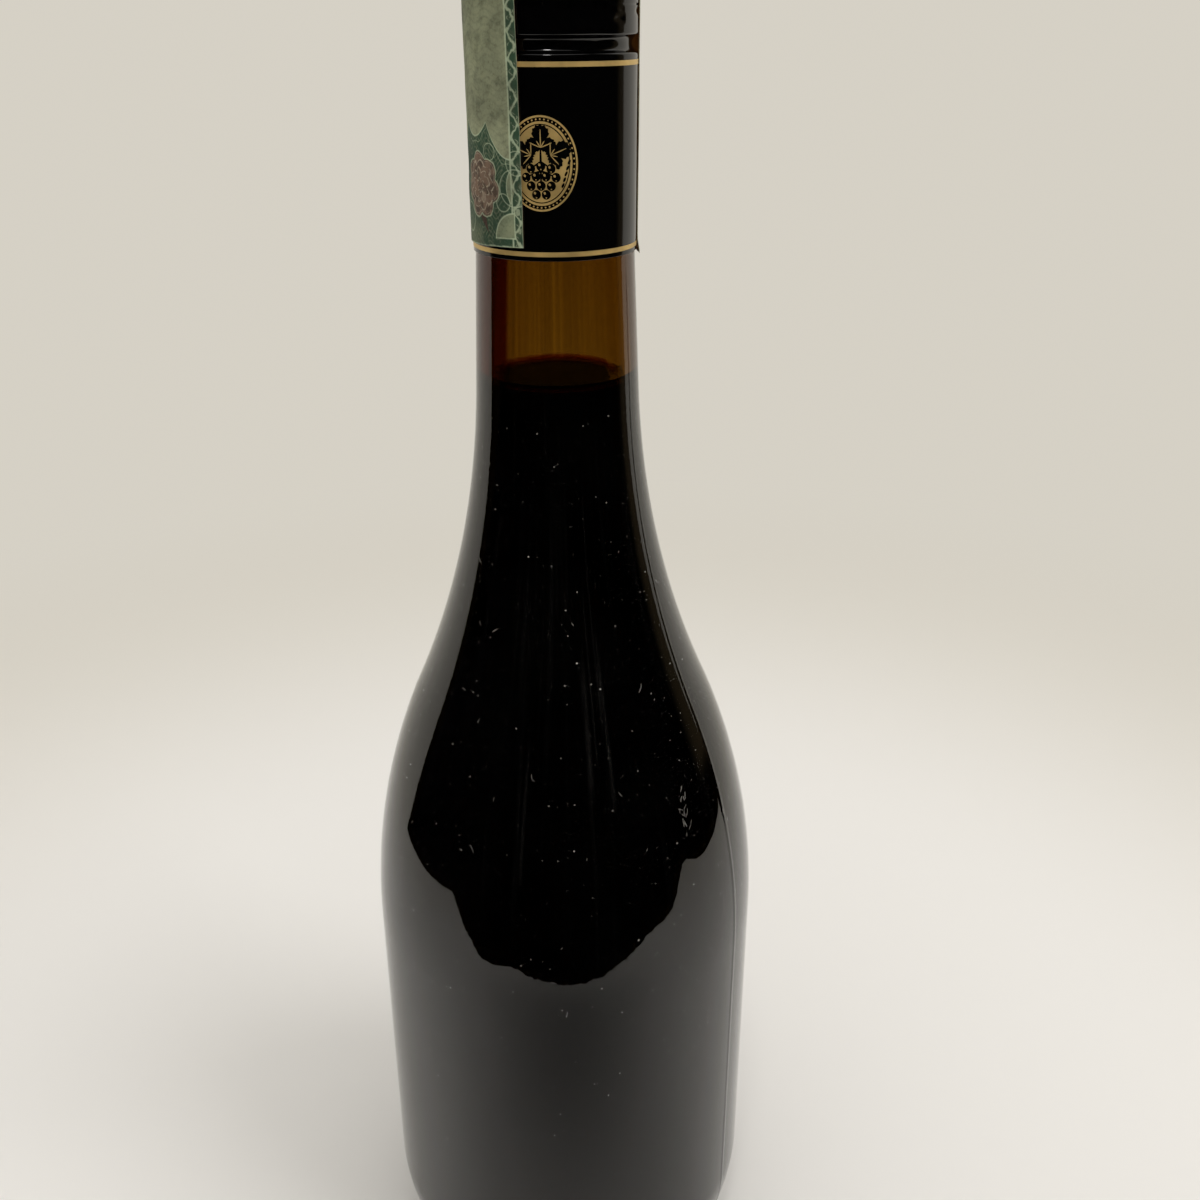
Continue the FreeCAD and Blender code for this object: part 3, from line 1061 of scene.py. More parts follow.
class MakeGlass(bpy.types.Operator):
    """Blow the bottle: outer and inner wall, punt, mouth and mould seams"""

    bl_idname = "liqueur_bottle.glass"
    bl_label = "Glass bottle"

    def execute(self, context):
        given = settings()
        size, cap = given["glass"], given["cap"]
        form = GlassForm(size, cap)
        inside = form.inside()
        inside += [(size.bore_radius, form.groove_foot), (size.bore_radius, size.rim)]
        outline = form.outside() + inside[::-1]
        piece = turned_piece("bottle_glass", outline, GLASS_STEPS)
        wall = OuterWall(form)
        self.press_seams(piece, size, wall)
        self.make_uneven(piece, size, wall)
        smooth(piece, SOFT_EDGE_ANGLE)
        dress(piece, glass_material(given["colours"]), "glass_bottle")
        return {"FINISHED"}

    def press_seams(self, piece, size, wall):
        """Cut a narrow band round each mould seam and raise its middle."""
        half = size.seam_width / 2
        normal = at_azimuth(1.0, size.seam_turn + math.pi / 2, 0.0)
        edit(piece)
        for shift in (-half, 0.0, half):
            bpy.ops.mesh.select_all(action="SELECT")
            bpy.ops.mesh.bisect(plane_co=normal * shift, plane_no=normal, threshold=SAME_PLACE)
        inner = size.body_wall * 0.5

        def on_seam(place):
            if abs(place.dot(normal)) > half * 0.2 or not 4 * MM < place.z < CAP_BOX[0][2] - MM:
                return False
            return math.hypot(place.x, place.y) > wall(place.z) - inner

        select_where(piece, on_seam)
        bpy.ops.transform.shrink_fatten(value=size.seam_height)
        to_object_mode()

    def make_uneven(self, piece, size, wall):
        """Give the blown inner wall of the neck its slight flutes."""
        flutes = Flutes(size)

        def move(place):
            radius = math.hypot(place.x, place.y)
            if place.z < size.body_height or radius > wall(place.z) - size.body_wall * 0.6:
                return place
            return pushed(place, flutes(place))

        reshape(piece, move)


class Flutes:
    """How far the blown inner wall stands out or in, round the neck and down the shoulder."""

    def __init__(self, size):
        draw = random.Random(41)
        self.size = size
        self.waves = []
        for number, weight in WALL_WAVES:
            start, lean = draw.uniform(0, FULL_TURN), draw.uniform(-12, 12)
            self.waves.append((number, start, lean, weight * draw.uniform(0.7, 1.1)))

    def __call__(self, place):
        if place.z > CAP_BOX[0][2] + 20 * MM:
            return 0.0
        azimuth = azimuth_of(place)
        height = sum(
            weight * math.sin(number * azimuth + start + lean * place.z)
            for number, start, lean, weight in self.waves
        )
        fade = smooth_step(self.size.body_height, self.size.body_height + 90 * MM, place.z)
        return height * self.size.unevenness * fade


class OuterWall:
    """The bottle's outside radius at any height between the foot and the cap."""

    def __init__(self, form):
        rows = [(z, r) for r, z in form.outside() if z > form.size.foot_radius]
        self.rows = sorted(rows[: len(rows) - 12])

    def __call__(self, height):
        rows = self.rows
        if height <= rows[0][0]:
            return rows[0][1]
        for (low, a), (high, b) in zip(rows, rows[1:]):
            if height <= high:
                return a + (b - a) * (height - low) / max(high - low, 1e-9)
        return rows[-1][1]


class MakeLiqueur(bpy.types.Operator):
    """Fill the bottle with liqueur up to its level, just into the glass"""

    bl_idname = "liqueur_bottle.liqueur"
    bl_label = "Liqueur"

    def execute(self, context):
        given = settings()
        size, tones = given["liqueur"], given["colours"]
        form = GlassForm(given["glass"], given["cap"])
        wall = form.inside(size.reach)
        neck, mouth = wall[-1], (given["glass"].bore_radius + size.reach, form.groove_foot)
        slope = (mouth[0] - neck[0]) / (mouth[1] - neck[1])
        edge = neck[0] + slope * (size.level - neck[1])
        drop = size.meniscus_depth
        wide = size.meniscus_width
        below = [place for place in wall if place[1] < size.level - drop - 0.5 * MM]
        shoulder = [
            (edge - wide * share, size.level - drop * (1 - share) ** 2)
            for share in (i / 8 for i in range(9))
        ]
        surface = [(edge * 0.45, size.level), (0.0, size.level)]
        core = turned_piece("liqueur_fill", below + shoulder + surface, LIQUEUR_STEPS)
        climb = [
            (edge - wide * share, size.level + size.meniscus_height * (1 - share) ** 2.4)
            for share in (i / 10 for i in range(11))
        ]
        rim = turned_piece("liqueur_meniscus", climb + shoulder[-2::-1], LIQUEUR_STEPS, closed=True)
        flutes = Flutes(given["glass"])

        def follow_wall(place):
            return pushed(place, flutes(place) * min(1.0, math.hypot(place.x, place.y) / edge))

        for piece in (core, rim):
            reshape(piece, follow_wall)
            smooth(piece, SOFT_EDGE_ANGLE)
        deep = liqueur_material(tones, "blackcurrant_liqueur", LIQUEUR_IN_GLASS_IOR)
        dress(core, deep, "liqueur")
        core.data.materials.append(liqueur_material(tones, "liqueur_surface", LIQUEUR_SURFACE_IOR))
        for face in core.data.polygons:
            if face.normal.z > 0.3 and face.center.z > size.level - drop:
                face.material_index = 1
        thin = thin_liqueur_material(tones, "liqueur_edge", MENISCUS_DENSITY, LIQUEUR_IOR)
        dress(rim, thin)
        film = self.film(size, edge, slope, flutes)
        dress(film, thin_liqueur_material(tones, "liqueur_film", FILM_DENSITY, FILM_IOR))
        return {"FINISHED"}

    def film(self, size, edge, slope, flutes):
        """The drink that still clings to one side of the neck, above the level."""
        inner, outer = -size.film_thickness, size.film_reach
        low, high = size.level - 0.3 * MM, CAP_BOX[0][2] + 4 * MM
        side = [low + (high - low) * i / 12 for i in range(13)]

        def wall_radius(height):
            return edge - size.reach + slope * (height - size.level)

        outline = [(wall_radius(z) + outer, z) for z in side] + [
            (wall_radius(z) + inner, z) for z in side[::-1]
        ]
        piece = drawn_line("liqueur_film", outline + outline[:1])
        edit(piece)
        bpy.ops.mesh.remove_doubles(threshold=SAME_PLACE)
        bpy.ops.mesh.select_all(action="SELECT")
        bpy.ops.mesh.edge_face_add()
        start, width = size.film_start, size.film_width
        spun_from(piece, start + width, width, 100)
        middle = start + width / 2

        def thin(place):
            from_end = width / 2 - abs(azimuth_of(place) - middle)
            radius = math.hypot(place.x, place.y)
            wall = wall_radius(place.z)
            cling = 0.02 + 0.98 * smooth_step(0.0, size.film_blend, from_end)
            depth = (radius - wall) * cling + size.film_end_depth * (1 - cling)
            return pushed(place, wall + depth + flutes(place) - radius)

        reshape(piece, thin)
        face_outwards(piece)
        smooth(piece, EDGE_ANGLE)
        return piece


class MakeCap(bpy.types.Operator):
    """Roll the cap: skirt, groove, tear line, thread and knurled top"""

    bl_idname = "liqueur_bottle.cap"
    bl_label = "Screw cap"

    def execute(self, context):
        given = settings()
        cap = given["cap"]
        outline = self.outside(cap) + self.inside(cap)
        piece = turned_piece("cap_shell", outline, CAP_STEPS)
        reshape(piece, self.relief(cap))
        smooth(piece, EDGE_ANGLE)
        dress(piece, lacquer_material(given["colours"]), "screw_cap")
        return {"FINISHED"}

    def groove(self, cap, inset):
        """The skirt's groove, moved in by inset."""
        side, edge = cap.radius - inset, cap.groove_edge_radius - inset
        half, middle = groove_half(cap), cap.edge + cap.groove_centre
        slope = math.asin(half / (cap.groove_radius + cap.groove_edge_radius))
        below, above = (side - edge, middle - half), (side - edge, middle + half)
        floor = (cap.radius - cap.groove_depth + cap.groove_radius, middle)
        points = arc(below, edge, 0, slope, 5)
        points += arc(floor, cap.groove_radius + inset, math.pi + slope, math.pi - slope, 12)[1:]
        points += arc(above, edge, -slope, 0, 5)[1:]
        return points

    def outside(self, cap):
        """From the lower edge up the outside to the middle of the top."""
        tear = cap.top - cap.crown_length
        half = cap.tear_height / 2
        lip = 0.1 * MM
        points = arc((cap.radius - lip, cap.edge + lip), lip, -math.pi / 2, 0, 4)
        points += run(points[-1], self.groove(cap, 0)[0], 6)
        points += self.groove(cap, 0)[1:]
        points += run(points[-1], (cap.radius, tear - half - 0.06 * MM), 18)
        points += [(cap.radius, tear + shift * half) for shift in (-1, -0.9, 0, 0.9, 1)]
        knurl = cap.top - cap.corner_radius - cap.knurl_length
        points += run(points[-1], (cap.radius, knurl - 0.05 * MM), 50)
        points += [(cap.radius, knurl + 0.05 * MM)]
        points += run(points[-1], (cap.radius, cap.top - cap.corner_radius - 0.05 * MM), 4)
        centre = (cap.radius - cap.corner_radius, cap.top - cap.corner_radius)
        points += arc(centre, cap.corner_radius, 0.02, math.pi / 2, 8)
        points += run(points[-1], (0.0, cap.top), 5)
        return points

    def inside(self, cap):
        """From the middle of the liner down the inside to the lower edge."""
        tear = cap.top - cap.crown_length
        crown = cap.radius - cap.thread_depth - cap.wall
        rim = cap.top - cap.wall
        inner = cap.radius - cap.wall
        points = [(0.0, rim), (crown, rim), (crown, tear), (inner, tear - 0.1 * MM)]
        points += self.groove(cap, cap.wall)[::-1]
        points += [(inner, cap.edge), (cap.radius - 0.1 * MM, cap.edge)]
        return points

    def relief(self, cap):
        """How the thread, the flutes and the slits press the metal in."""
        tear = cap.top - cap.crown_length
        knurl = cap.top - cap.corner_radius - cap.knurl_length
        turns, run_out = 1.75, 0.06  # how often the thread goes round, and its fading ends
        step = FULL_TURN / cap.tear_count

        def dent(offset, radius, depth):
            if abs(offset) >= radius:
                return 0.0
            return max(0.0, depth - radius + math.sqrt(radius**2 - offset**2))

        def creases(place):
            """Shallow dents where the metal was rolled, between the groove and the tear line."""
            depth = 0.0
            for below, width, spots in ((0.95 * MM, 0.45 * MM, 2.3), (2.15 * MM, 0.55 * MM, 5.1)):
                share = (place.z - (tear - below)) / width
                if abs(share) < 3:
                    swell = noise.noise(place * 260 + Vector((0, 0, spots)))
                    depth += max(0.0, 0.06 + 0.65 * swell) * MM * math.exp(-(share**2))
            return depth

        def move(place):
            radius = math.hypot(place.x, place.y)
            if radius < cap.radius - 0.05 * MM:
                return place
            around_axis = math.atan2(place.y, place.x) % FULL_TURN
            depth = 0.0
            if abs(place.z - tear) < cap.tear_height * 0.48:
                if around_axis % step < step - cap.tear_bridge:
                    depth = cap.tear_depth
            elif place.z < tear:
                depth = creases(place)
            elif tear + MM < place.z < knurl:
                for whole in (0, 1):
                    turned = whole + around_axis / FULL_TURN
                    if turned > turns + run_out:
                        continue
                    begin = turned / run_out if whole == 0 else 1.0
                    fade = min(1.0, begin, (turns + run_out - turned) / run_out)
                    height = tear + cap.thread_start + cap.thread_pitch * turned
                    rolled = dent(place.z - height, cap.thread_radius, cap.thread_depth)
                    depth = max(depth, fade * rolled)
            elif knurl < place.z <= cap.top - cap.corner_radius:
                pitch = FULL_TURN / cap.knurl_count
                offset = ((around_axis + pitch / 2) % pitch - pitch / 2) * cap.radius
                depth = dent(offset, cap.knurl_radius, cap.knurl_depth)
            return pushed(place, -depth)

        return move


class MakeGoldPrint(bpy.types.Operator):
    """Print the cap's gold lines and its medallion"""

    bl_idname = "liqueur_bottle.gold"
    bl_label = "Gold print"

    def execute(self, context):
        given = settings()
        cap, tones = given["cap"], given["colours"]
        gold, ink = gold_material(tones), ink_material(tones)
        rings = []
        for name, height in (("lower", cap.lower_line), ("upper", cap.upper_line)):
            low = cap.edge + height - cap.line_width / 2
            high = low + cap.line_width
            inner, outer = cap.radius - 0.02 * MM, cap.radius + cap.foil
            outline = [(inner, low), (outer, low), (outer, high), (inner, high)]
            rings.append(turned_piece("gold_line_" + name, outline, LINE_STEPS, closed=True))
        for ring in rings:
            smooth(ring, EDGE_ANGLE)
            dress(ring, gold)
        dress(self.medallion_field(cap), gold)
        dress(self.medallion_marks(cap), ink)
        dress(self.medallion_lights(cap), gold)
        return {"FINISHED"}

    def disc(self, centre, half_width, half_height, vertices=48, turned=0.0):
        """A flat oval at a place of the unrolled cap."""
        deselect()
        bpy.ops.mesh.primitive_circle_add(
            vertices=vertices, radius=1.0, fill_type="NGON",
            location=(centre[0], 0, centre[1]), rotation=(math.pi / 2, 0, 0),
        )
        piece = bpy.context.object
        piece.scale = (half_width, half_height, 1.0)
        piece.rotation_euler = (math.pi / 2, -turned, 0)
        place_in_mesh(piece)
        return piece

    def ring(self, half_width, half_height, width):
        piece = self.disc((0, 0), half_width, half_height, 96)
        edit(piece)
        bpy.ops.mesh.select_mode(type="FACE")
        bpy.ops.mesh.select_all(action="SELECT")
        bpy.ops.mesh.inset(thickness=width, depth=0)
        bpy.ops.mesh.delete(type="FACE")
        to_object_mode()
        return piece

    def wrap(self, name, pieces, cap, lift, thickness):
        """Join flat pieces and wrap them on the cap as one thin layer."""
        pick(*pieces)
        bpy.ops.object.join()
        piece = bpy.context.object
        piece.name = piece.data.name = name
        edit(piece)
        reach = cap.medal_half_width + MM
        step = 0.3 * MM
        for i in range(int(2 * reach / step) + 1):
            bpy.ops.mesh.select_all(action="SELECT")
            bpy.ops.mesh.bisect(
                plane_co=(-reach + step * i, 0, 0), plane_no=(1, 0, 0), threshold=SAME_PLACE
            )
        to_object_mode()
        radius = cap.radius + lift
        middle = cap.edge + cap.medal_height

        def move(place):
            return at_azimuth(radius, cap.medal_turn + place.x / radius, middle + place.z)

        reshape(piece, move)
        face_outwards(piece)
        face = piece.data.polygons[0]
        if face.normal.to_2d().dot(face.center.to_2d()) < 0:
            edit(piece)
            bpy.ops.mesh.flip_normals()
            to_object_mode()
        solid = piece.modifiers.new("layer", "SOLIDIFY")
        solid.thickness, solid.offset = thickness, 1.0
        pick(piece)
        bpy.ops.object.modifier_apply(modifier=solid.name)
        smooth(piece, EDGE_ANGLE)
        return piece

    def medallion_field(self, cap):
        """The gold oval, the fine ring round it and the beads between them."""
        wide, tall = cap.medal_half_width, cap.medal_half_height
        pieces = [self.disc((0, 0), wide - 0.95 * MM, tall - 0.95 * MM, 96)]
        pieces.append(self.ring(wide, tall, 0.32 * MM))
        beads = 52
        for i in range(beads):
            turned = FULL_TURN * i / beads
            place = ((wide - 0.62 * MM) * math.cos(turned), (tall - 0.62 * MM) * math.sin(turned))
            pieces.append(self.disc(place, 0.15 * MM, 0.15 * MM, 8))
        return self.wrap("gold_medallion", pieces, cap, 0.002 * MM, 0.014 * MM)

    def leaf(self, centre, reach, lean):
        """A lobed, toothed currant leaf; it points up before it leans."""
        piece = self.disc(centre, MM, MM, 90)
        for vertex in piece.data.vertices:
            x, z = vertex.co.x - centre[0], vertex.co.z - centre[1]
            angle = math.atan2(x, z)
            lobes = abs(math.cos(angle * 1.5)) ** 0.7 if abs(angle) < 1.9 else 0.35
            base = 0.50 + 0.50 * lobes - 0.16 * smooth_step(2.4, 3.14, abs(angle))
            radius = reach * (base + 0.045 * math.cos(angle * 22))
            vertex.co.x = centre[0] + radius * math.sin(angle + lean)
            vertex.co.z = centre[1] + radius * math.cos(angle + lean)
        return piece

    def stroke(self, start, end, width):
        """A thin pointed stroke from start to end."""
        middle = ((start[0] + end[0]) / 2, (start[1] + end[1]) / 2)
        span = math.dist(start, end) / 2
        turned = math.atan2(end[0] - start[0], end[1] - start[1])
        return self.disc(middle, width / 2, span, 12, -turned)

    def medallion_marks(self, cap):
        """The sprig of currants printed on the gold oval."""
        pieces = [self.disc((x * MM, z * MM), 0.78 * MM, 0.80 * MM, 22) for x, z in BERRIES]
        for x, z, lean in LEAVES:
            pieces.append(self.leaf((x * MM, z * MM), 2.75 * MM, math.radians(lean)))
        wide, tall = cap.medal_half_width - 1.35 * MM, cap.medal_half_height - 1.35 * MM
        pieces.append(self.ring(wide, tall, 0.17 * MM))
        pieces.append(self.stroke((0.0, 3.4 * MM), (0.0, -4.3 * MM), 0.42 * MM))
        for x, z in BERRIES[:7]:
            pieces.append(self.stroke((0.0, (z + 1.2) * MM), (x * MM, z * MM), 0.30 * MM))
        for side in (-1, 1):
            for i in range(5):
                foot = (side * (3.55 + 0.28 * i) * MM, (-3.9 + 0.95 * i) * MM)
                tip = (foot[0] + side * 0.42 * MM, foot[1] + 0.8 * MM)
                pieces.append(self.stroke(foot, tip, 0.42 * MM))
        return self.wrap("medallion_sprig", pieces, cap, 0.016 * MM, 0.005 * MM)

    def medallion_lights(self, cap):
        """Gold lights on the berries and veins on the leaves."""
        pieces = []
        for x, z in BERRIES:
            upper, lower = ((x - 0.26) * MM, (z + 0.24) * MM), (x * MM, (z - 0.52) * MM)
            pieces.append(self.disc(upper, 0.20 * MM, 0.24 * MM, 12, 0.6))
            pieces.append(self.disc(lower, 0.13 * MM, 0.10 * MM, 8))
        for x, z, lean in LEAVES:
            back = math.radians(lean)
            start = ((x - math.sin(back) * 0.9) * MM, (z - math.cos(back) * 0.9) * MM)
            for spread, long in ((-68, 2.1), (-32, 1.3), (0, 3.0), (32, 1.3), (68, 2.1)):
                angle = math.radians(lean + spread)
                way = (math.sin(angle), math.cos(angle))
                end = tuple(a + long * MM * b for a, b in zip(start, way))
                pieces.append(self.stroke(start, end, 0.19 * MM))
        return self.wrap("medallion_lights", pieces, cap, 0.0215 * MM, 0.004 * MM)


class MakeStrip(bpy.types.Operator):
    """Lay the paper strip over the cap"""

    bl_idname = "liqueur_bottle.strip"
    bl_label = "Duty strip"

    def execute(self, context):
        given = settings()
        size, cap = given["strip"], given["cap"]
        piece = self.envelope(size, cap)
        self.cut_to_width(piece, size, cap)
        self.lay(piece, size, cap)
        dress(piece, paper_material(given["colours"]), "duty_strip")
        return {"FINISHED"}

    def envelope(self, size, cap):
        """The cap's plain outer form, which the taut paper follows."""
        side = cap.radius + size.glue
        top = cap.top + size.glue
        corner = cap.corner_radius + size.glue
        points = [(side, cap.edge + size.rear_end)]
        points += run(points[0], (side, top - corner), 110)
        points += arc((side - corner, top - corner), corner, 0, math.pi / 2, 10)[1:]
        points += run(points[-1], (0.0, top), 30)
        return turned_piece("paper_strip", points, PAPER_STEPS)

    def cut_to_width(self, piece, size, cap):
        """Cut the two long edges and the end of the front leg."""
        half = cap.radius * math.sin(size.width / (2 * cap.radius))
        sideways = at_azimuth(1.0, size.azimuth + math.pi / 2, 0.0)
        forward = at_azimuth(1.0, size.azimuth, 0.0)
        edit(piece)
        for way in (1, -1):
            bpy.ops.mesh.select_all(action="SELECT")
            bpy.ops.mesh.bisect(
                plane_co=sideways * half * way, plane_no=sideways * way,
                clear_outer=True, threshold=SAME_PLACE,
            )
        end = cap.edge + size.front_end


        def near_front_end(place):
            return place.dot(forward) > 0 and place.z < end + 4 * MM

        select_where(piece, near_front_end, "faces")
        bpy.ops.mesh.bisect(
            plane_co=(0, 0, end), plane_no=(0, 0, -1), clear_outer=True, threshold=SAME_PLACE
        )
        to_object_mode()

    def lay(self, piece, size, cap):
        """Give the paper small waves, its thickness and the coordinates of its print."""
        sideways = at_azimuth(1.0, size.azimuth + math.pi / 2, 0.0)
        forward = at_azimuth(1.0, size.azimuth, 0.0)
        half = size.width / 2
        side_top = cap.top - cap.corner_radius
        front_end, rear_end = cap.edge + size.front_end, cap.edge + size.rear_end

        def unrolled(place):
            """Across and along the strip, and how far from its front end."""
            share = max(-1.0, min(1.0, place.dot(sideways) / (cap.radius + size.glue)))
            across = cap.radius * math.asin(share)
            front = place.dot(forward)
            flat = math.sqrt(max(0.0, cap.radius**2 - place.dot(sideways) ** 2)) - cap.corner_radius
            turn_length = cap.corner_radius * math.pi / 2
            leg = side_top - front_end
            if place.z < side_top:
                near_end = place.z - (front_end if front > 0 else rear_end)
                total = leg + 2 * turn_length + 2 * flat
                from_front = place.z - front_end if front > 0 else total + side_top - place.z
            else:
                rise = math.asin(min(1.0, (place.z - side_top) / (cap.corner_radius + size.glue)))
                inward = max(0.0, flat - abs(front))
                near_end = leg + rise * cap.corner_radius + inward
                from_front = near_end if front > 0 else 2 * (leg + turn_length + flat) - near_end
            return across, near_end, from_front, front > 0

        def lift(place):
            across, along, way, at_front = unrolled(place)
            if place.z > side_top - 2 * MM:
                return 0.0
            calm = smooth_step(side_top - 2 * MM, side_top - 10 * MM, place.z)
            spot = Vector((across * 110, way * 70, 3.7))
            swell = noise.noise(spot) * 0.5 + 0.5 + 0.35 * noise.noise(spot * 2.7)
            at_edge = smooth_step(0.45, 1.0, abs(across) / half)
            height = size.wave * calm * (0.35 * swell + at_edge * (0.3 + 1.3 * swell))
            if at_front:
                return max(0.0, height)
            corner = math.hypot(across - half, along)
            return max(0.0, height * 0.25) + size.corner_curl * smooth_step(2.6 * MM, 0.0, corner)

        def laid(place):
            """Where a point of the taut paper lies: a little askew, uneven at its ends."""
            across, along, _, at_front = unrolled(place)
            place = pushed(place, lift(place))
            near_side = smooth_step(6 * MM, 0.0, along)
            if at_front:
                upward = smooth_step(front_end, side_top, place.z)
                upward *= smooth_step(0.0, cap.radius * 0.6, place.dot(forward))
                place.z -= near_side * size.end_slant * (0.5 - across / size.width)
                turned = Matrix.Rotation(-size.askew / cap.radius * upward, 3, "Z")
                return turned @ place
            place.z -= near_side * size.end_slant * 1.5 * smooth_step(-half, half, across)
            return place

        attribute = piece.data.attributes.new("print_place", "FLOAT_VECTOR", "POINT")
        for vertex, item in zip(piece.data.vertices, attribute.data):
            item.vector = Vector(unrolled(vertex.co)[:3]) / MM
        reshape(piece, laid)
        solid = piece.modifiers.new("paper", "SOLIDIFY")
        solid.thickness, solid.offset = size.thickness, 1.0
        pick(piece)
        bpy.ops.object.modifier_apply(modifier=solid.name)
        smooth(piece, EDGE_ANGLE)
        back = piece.data.attributes.new("paper_back", "FLOAT", "POINT")
        middle = Vector((0, 0, side_top - 20 * MM))
        for vertex, item in zip(piece.data.vertices, back.data):
            inward = middle - vertex.co
            if vertex.co.z <= side_top:
                inward = Vector((-vertex.co.x, -vertex.co.y, 0))
            item.value = 1.0 if vertex.normal.dot(inward) > 0 else 0.0


class MakeDust(bpy.types.Operator):
    """Scatter dust and fibres on the glass"""

    bl_idname = "liqueur_bottle.dust"
    bl_label = "Dust"

    def execute(self, context):
        given = settings()
        wall = OuterWall(GlassForm(given["glass"], given["cap"]))
        size = given["dust"]
        draw = random.Random(23)
        dust = dust_material(given["colours"])
        dress(self.specks(size, wall, draw), dust)
        dress(self.fibres(size, wall, draw), dust)
        return {"FINISHED"}

    def settle(self, draw):
        """A place where dust settles: an azimuth and a height, most of them on the shoulder."""
        height = draw.triangular(40, 222, 140) * MM
        return draw.uniform(-math.pi, math.pi), height

    def specks(self, size, wall, draw):
        """Small flakes: one is modelled, and the others are copies of it."""
        deselect()
        bpy.ops.mesh.primitive_ico_sphere_add(subdivisions=1, radius=1.0)
        flake = bpy.context.object
        shape = [vertex.co.copy() for vertex in flake.data.vertices]
        faces = [tuple(face.vertices) for face in flake.data.polygons]
        bpy.data.objects.remove(flake)
        points, sides = [], []
        for i in range(size.speck_count):
            azimuth, height = self.settle(draw)
            big = size.speck * (0.36 + 1.2 * draw.random() ** 5)
            place = at_azimuth(wall(height) + big * 0.10, azimuth, height)
            outward = at_azimuth(1.0, azimuth, 0.0)
            spin = Matrix.Rotation(draw.uniform(0, FULL_TURN), 3, outward)
            flat = outward.to_track_quat("Z", "Y").to_matrix()
            stretch = Vector((draw.uniform(0.5, 1.3), draw.uniform(0.5, 1.3), 0.35)) * big
            sides += [tuple(index + len(points) for index in face) for face in faces]
            for corner in shape:
                local = Vector((corner.x * stretch.x, corner.y * stretch.y, corner.z * stretch.z))
                points.append(place + spin @ flat @ (local * draw.uniform(0.8, 1.2)))
        mesh = bpy.data.meshes.new("dust_specks")
        mesh.from_pydata(points, [], sides)
        piece = bpy.data.objects.new("dust_specks", mesh)
        bpy.context.collection.objects.link(piece)
        return piece

    def fibres(self, size, wall, draw):
        """Short curled threads lying on the glass, and a small cluster of scuffs."""
        curve = bpy.data.curves.new("dust_fibres", "CURVE")
        curve.dimensions, curve.bevel_depth, curve.bevel_resolution = "3D", size.fibre / 2, 1
        curve.resolution_u = 4
        starts = []
        for i in range(size.fibre_count):
            azimuth, height = self.settle(draw)
            long, curl = draw.uniform(0.4, 2.0) * MM, draw.uniform(0.2, 1.4)
            starts.append((azimuth, height, long, curl, draw.uniform(0, FULL_TURN)))
        for i in range(size.scuff_count):
            azimuth = size.scuff_azimuth + math.radians(draw.gauss(0, 0.8))
            height = size.scuff_height + draw.gauss(0, 2.2) * MM
            long = draw.uniform(0.3, 1.5) * MM
            starts.append((azimuth, height, long, 0.5, draw.gauss(1.4, 0.45)))
        for azimuth, height, long, curl, heading in starts:
            knots = []
            for j in range(5):
                radius = wall(height) + size.fibre * 0.3 + (0.02 * MM if j in (1, 3) else 0.0)
                knots.append(at_azimuth(radius, azimuth, height))
                azimuth += math.cos(heading) * long / 4 / radius
                height += math.sin(heading) * long / 4
                heading += draw.uniform(-curl, curl)
            spline = curve.splines.new("NURBS")
            spline.points.add(4)
            for point, knot in zip(spline.points, knots):
                point.co = (*knot, 1.0)
            spline.order_u = 3
            spline.use_endpoint_u = True
        piece = bpy.data.objects.new("dust_fibres", curve)
        bpy.context.collection.objects.link(piece)
        pick(piece)
        bpy.ops.object.convert(target="MESH")
        piece = bpy.context.object
        smooth(piece)
        return piece


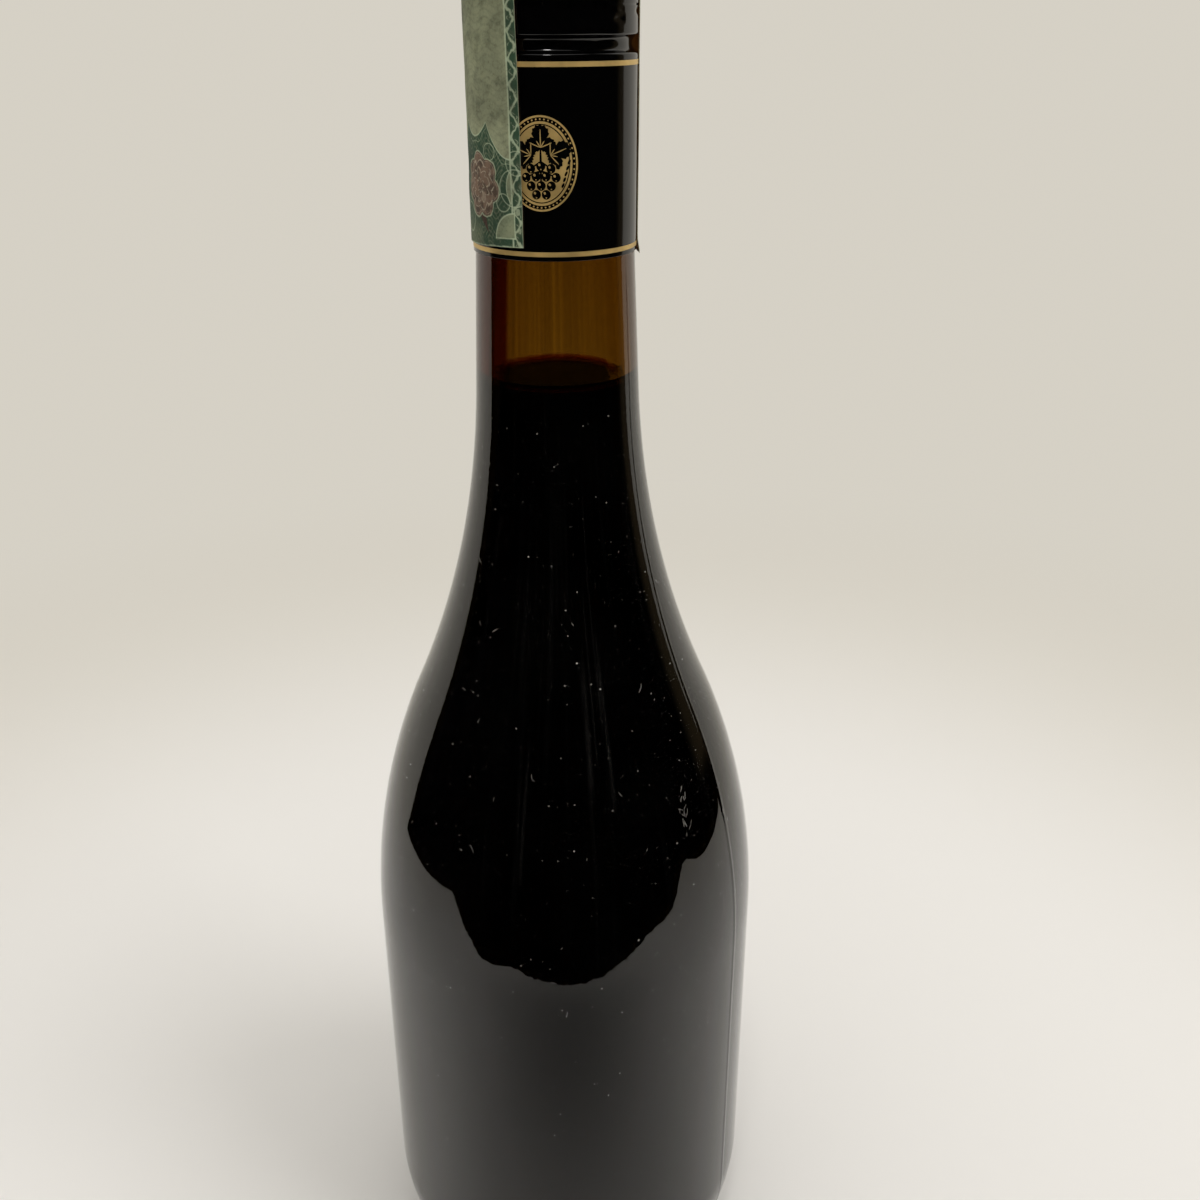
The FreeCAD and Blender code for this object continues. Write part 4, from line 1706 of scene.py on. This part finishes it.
class MakeStage(bpy.types.Operator):
    """Set the floor, the lamps and the camera"""

    bl_idname = "liqueur_bottle.stage"
    bl_label = "Studio"

    def execute(self, context):
        tones = settings()["colours"]
        self.floor(tones)
        self.flags()
        self.lamps()
        self.world()
        self.camera()
        context.scene.view_settings.view_transform = "Standard"
        return {"FINISHED"}

    def floor(self, tones):
        flat, cove, height = 2.2, 0.8, 2.6
        points = [(0.0, 0.0), (flat, 0.0)]
        points += arc((flat, cove), cove, -math.pi / 2, 0, 16)[1:]
        points += [(flat + cove, height)]
        piece = turned_piece("studio_floor", points, 96)
        face_outwards(piece, inwards=True)
        smooth(piece)
        piece.data.materials.append(floor_material(tones))

    def flags(self):
        """Black cards that only reflections and the glass see: the unlit room beyond the table."""
        reach, left, right, top = 1.6, math.radians(104), math.radians(109), math.radians(66)
        points = [around((0.0, 0.15), reach, (top + 0.1) * i / 16 - 0.1) for i in range(17)]
        dome = drawn_line("studio_flag", points)
        edit(dome)
        spun_from(dome, right, left + right, 72)
        rim = [at_azimuth(reach, right - (left + right) * i / 48, 0.0) for i in range(49)]
        apron = flat_sheet("studio_apron", [(p.x, p.y) for p in rim] + self.table_edge(), 0.6 * MM)
        # a painted shadow on the table in front of the bottle, seen only in reflections and through
        # the glass
        corners = [(-0.2, -0.3), (0.2, -0.3), (0.2, 0.03), (-0.2, 0.03)]
        shade = flat_sheet("studio_shade", corners, 0.5 * MM)
        black, grey = room_reflection_material(), painted_shadow_material()
        for piece, material in ((dome, black), (apron, black), (shade, grey)):
            piece.data.materials.append(material)
            piece.visible_camera = piece.visible_diffuse = False
            piece.visible_volume_scatter = piece.visible_shadow = False

    def table_edge(self):
        """The outline of the lit table top, from its left back corner to its right one."""
        draw = random.Random(7)
        left_side = [(-0.42, 0.112), (-0.331, 0.097), (-0.331, 0.02), (-0.318, -0.08)]
        right_side = [(0.398, -0.125), (0.366, -0.07), (0.358, -0.03), (0.363, 0.044)]
        right_side += [(0.378, 0.114), (0.46, 0.165)]
        front = []
        left, right, step = -0.305, 0.385, 0.005
        for i in range(int((right - left) / step) + 1):
            x = left + step * i
            swell = smooth_step(-0.150, -0.088, x) * (1 - smooth_step(0.160, 0.250, x))
            front.append((x, -0.146 - 0.039 * swell + draw.uniform(-0.003, 0.003)))
        return left_side + front + right_side

    def lamp(self, name, place, target, size, power, tone, glossy=False):
        deselect()
        bpy.ops.object.light_add(type="AREA", location=place)
        lamp = bpy.context.object
        lamp.name = name
        lamp.data.shape = "DISK"
        lamp.data.size = size
        lamp.data.energy = power
        lamp.data.color = tone
        way = Vector(target) - Vector(place)
        lamp.rotation_euler = way.to_track_quat("-Z", "Y").to_euler()
        lamp.visible_glossy = glossy
        return lamp

    def lamps(self):
        self.lamp("key_lamp", (1.5, -0.7, 2.3), (0, 0, 0.1), 1.3, 21.0, (1.0, 0.98, 0.96))
        self.lamp("top_lamp", (-0.1, -0.55, 1.3), (0, 0, 0.25), 0.16, 1.5, (1.0, 0.98, 0.95), True)

    def world(self):
        world = bpy.data.worlds.new("studio_light")
        bpy.context.scene.world = world
        world.use_nodes = True
        background = world.node_tree.nodes["Background"]
        background.inputs["Color"].default_value = (0.80, 0.79, 0.77, 1.0)
        background.inputs["Strength"].default_value = 1.14

    def camera(self):
        deselect()
        bpy.ops.object.camera_add(location=CAMERA_PLACE)
        camera = bpy.context.object
        camera.name = "front_camera"
        pitch, yaw, roll = (math.radians(a) for a in CAMERA_TURN)
        turned = (
            Matrix.Rotation(-yaw, 3, "Z")
            @ Matrix.Rotation(math.pi / 2 - pitch, 3, "X")
            @ Matrix.Rotation(roll, 3, "Z")
        )
        camera.rotation_euler = turned.to_euler()
        camera.data.lens = CAMERA_LENS
        camera.data.sensor_width = 36.0
        camera.data.clip_start = 0.01
        bpy.context.scene.camera = camera


class BottlePanel(bpy.types.Panel):
    """Lists the bottle's sizes, colours and steps"""

    bl_idname = "VIEW3D_PT_liqueur_bottle"
    bl_label = "Liqueur bottle"
    bl_space_type = "VIEW_3D"
    bl_region_type = "UI"
    bl_category = "Liqueur bottle"

    def draw(self, context):
        for name, group in GROUPS.items():
            box = self.layout.box()
            box.label(text=group.__doc__.rstrip("."))
            for key in group.__annotations__:
                box.prop(getattr(context.scene, name), key)
        for step in STEPS:
            self.layout.operator(step.bl_idname)


STEPS = [MakeGlass, MakeLiqueur, MakeCap, MakeGoldPrint, MakeStrip, MakeDust, MakeStage]


def register():
    for group in GROUPS.values():
        bpy.utils.register_class(group)
    for name, group in GROUPS.items():
        setattr(bpy.types.Scene, name, bpy.props.PointerProperty(type=group))
    for step in STEPS:
        bpy.utils.register_class(step)
    bpy.utils.register_class(BottlePanel)


def unregister():
    bpy.utils.unregister_class(BottlePanel)
    for step in reversed(STEPS):
        bpy.utils.unregister_class(step)
    for name in GROUPS:
        delattr(bpy.types.Scene, name)
    for group in reversed(list(GROUPS.values())):
        bpy.utils.unregister_class(group)


def main():
    register()
    for step in STEPS:
        module, name = step.bl_idname.split(".")
        getattr(getattr(bpy.ops, module), name)()
    deselect()


if __name__ == "__main__":
    main()
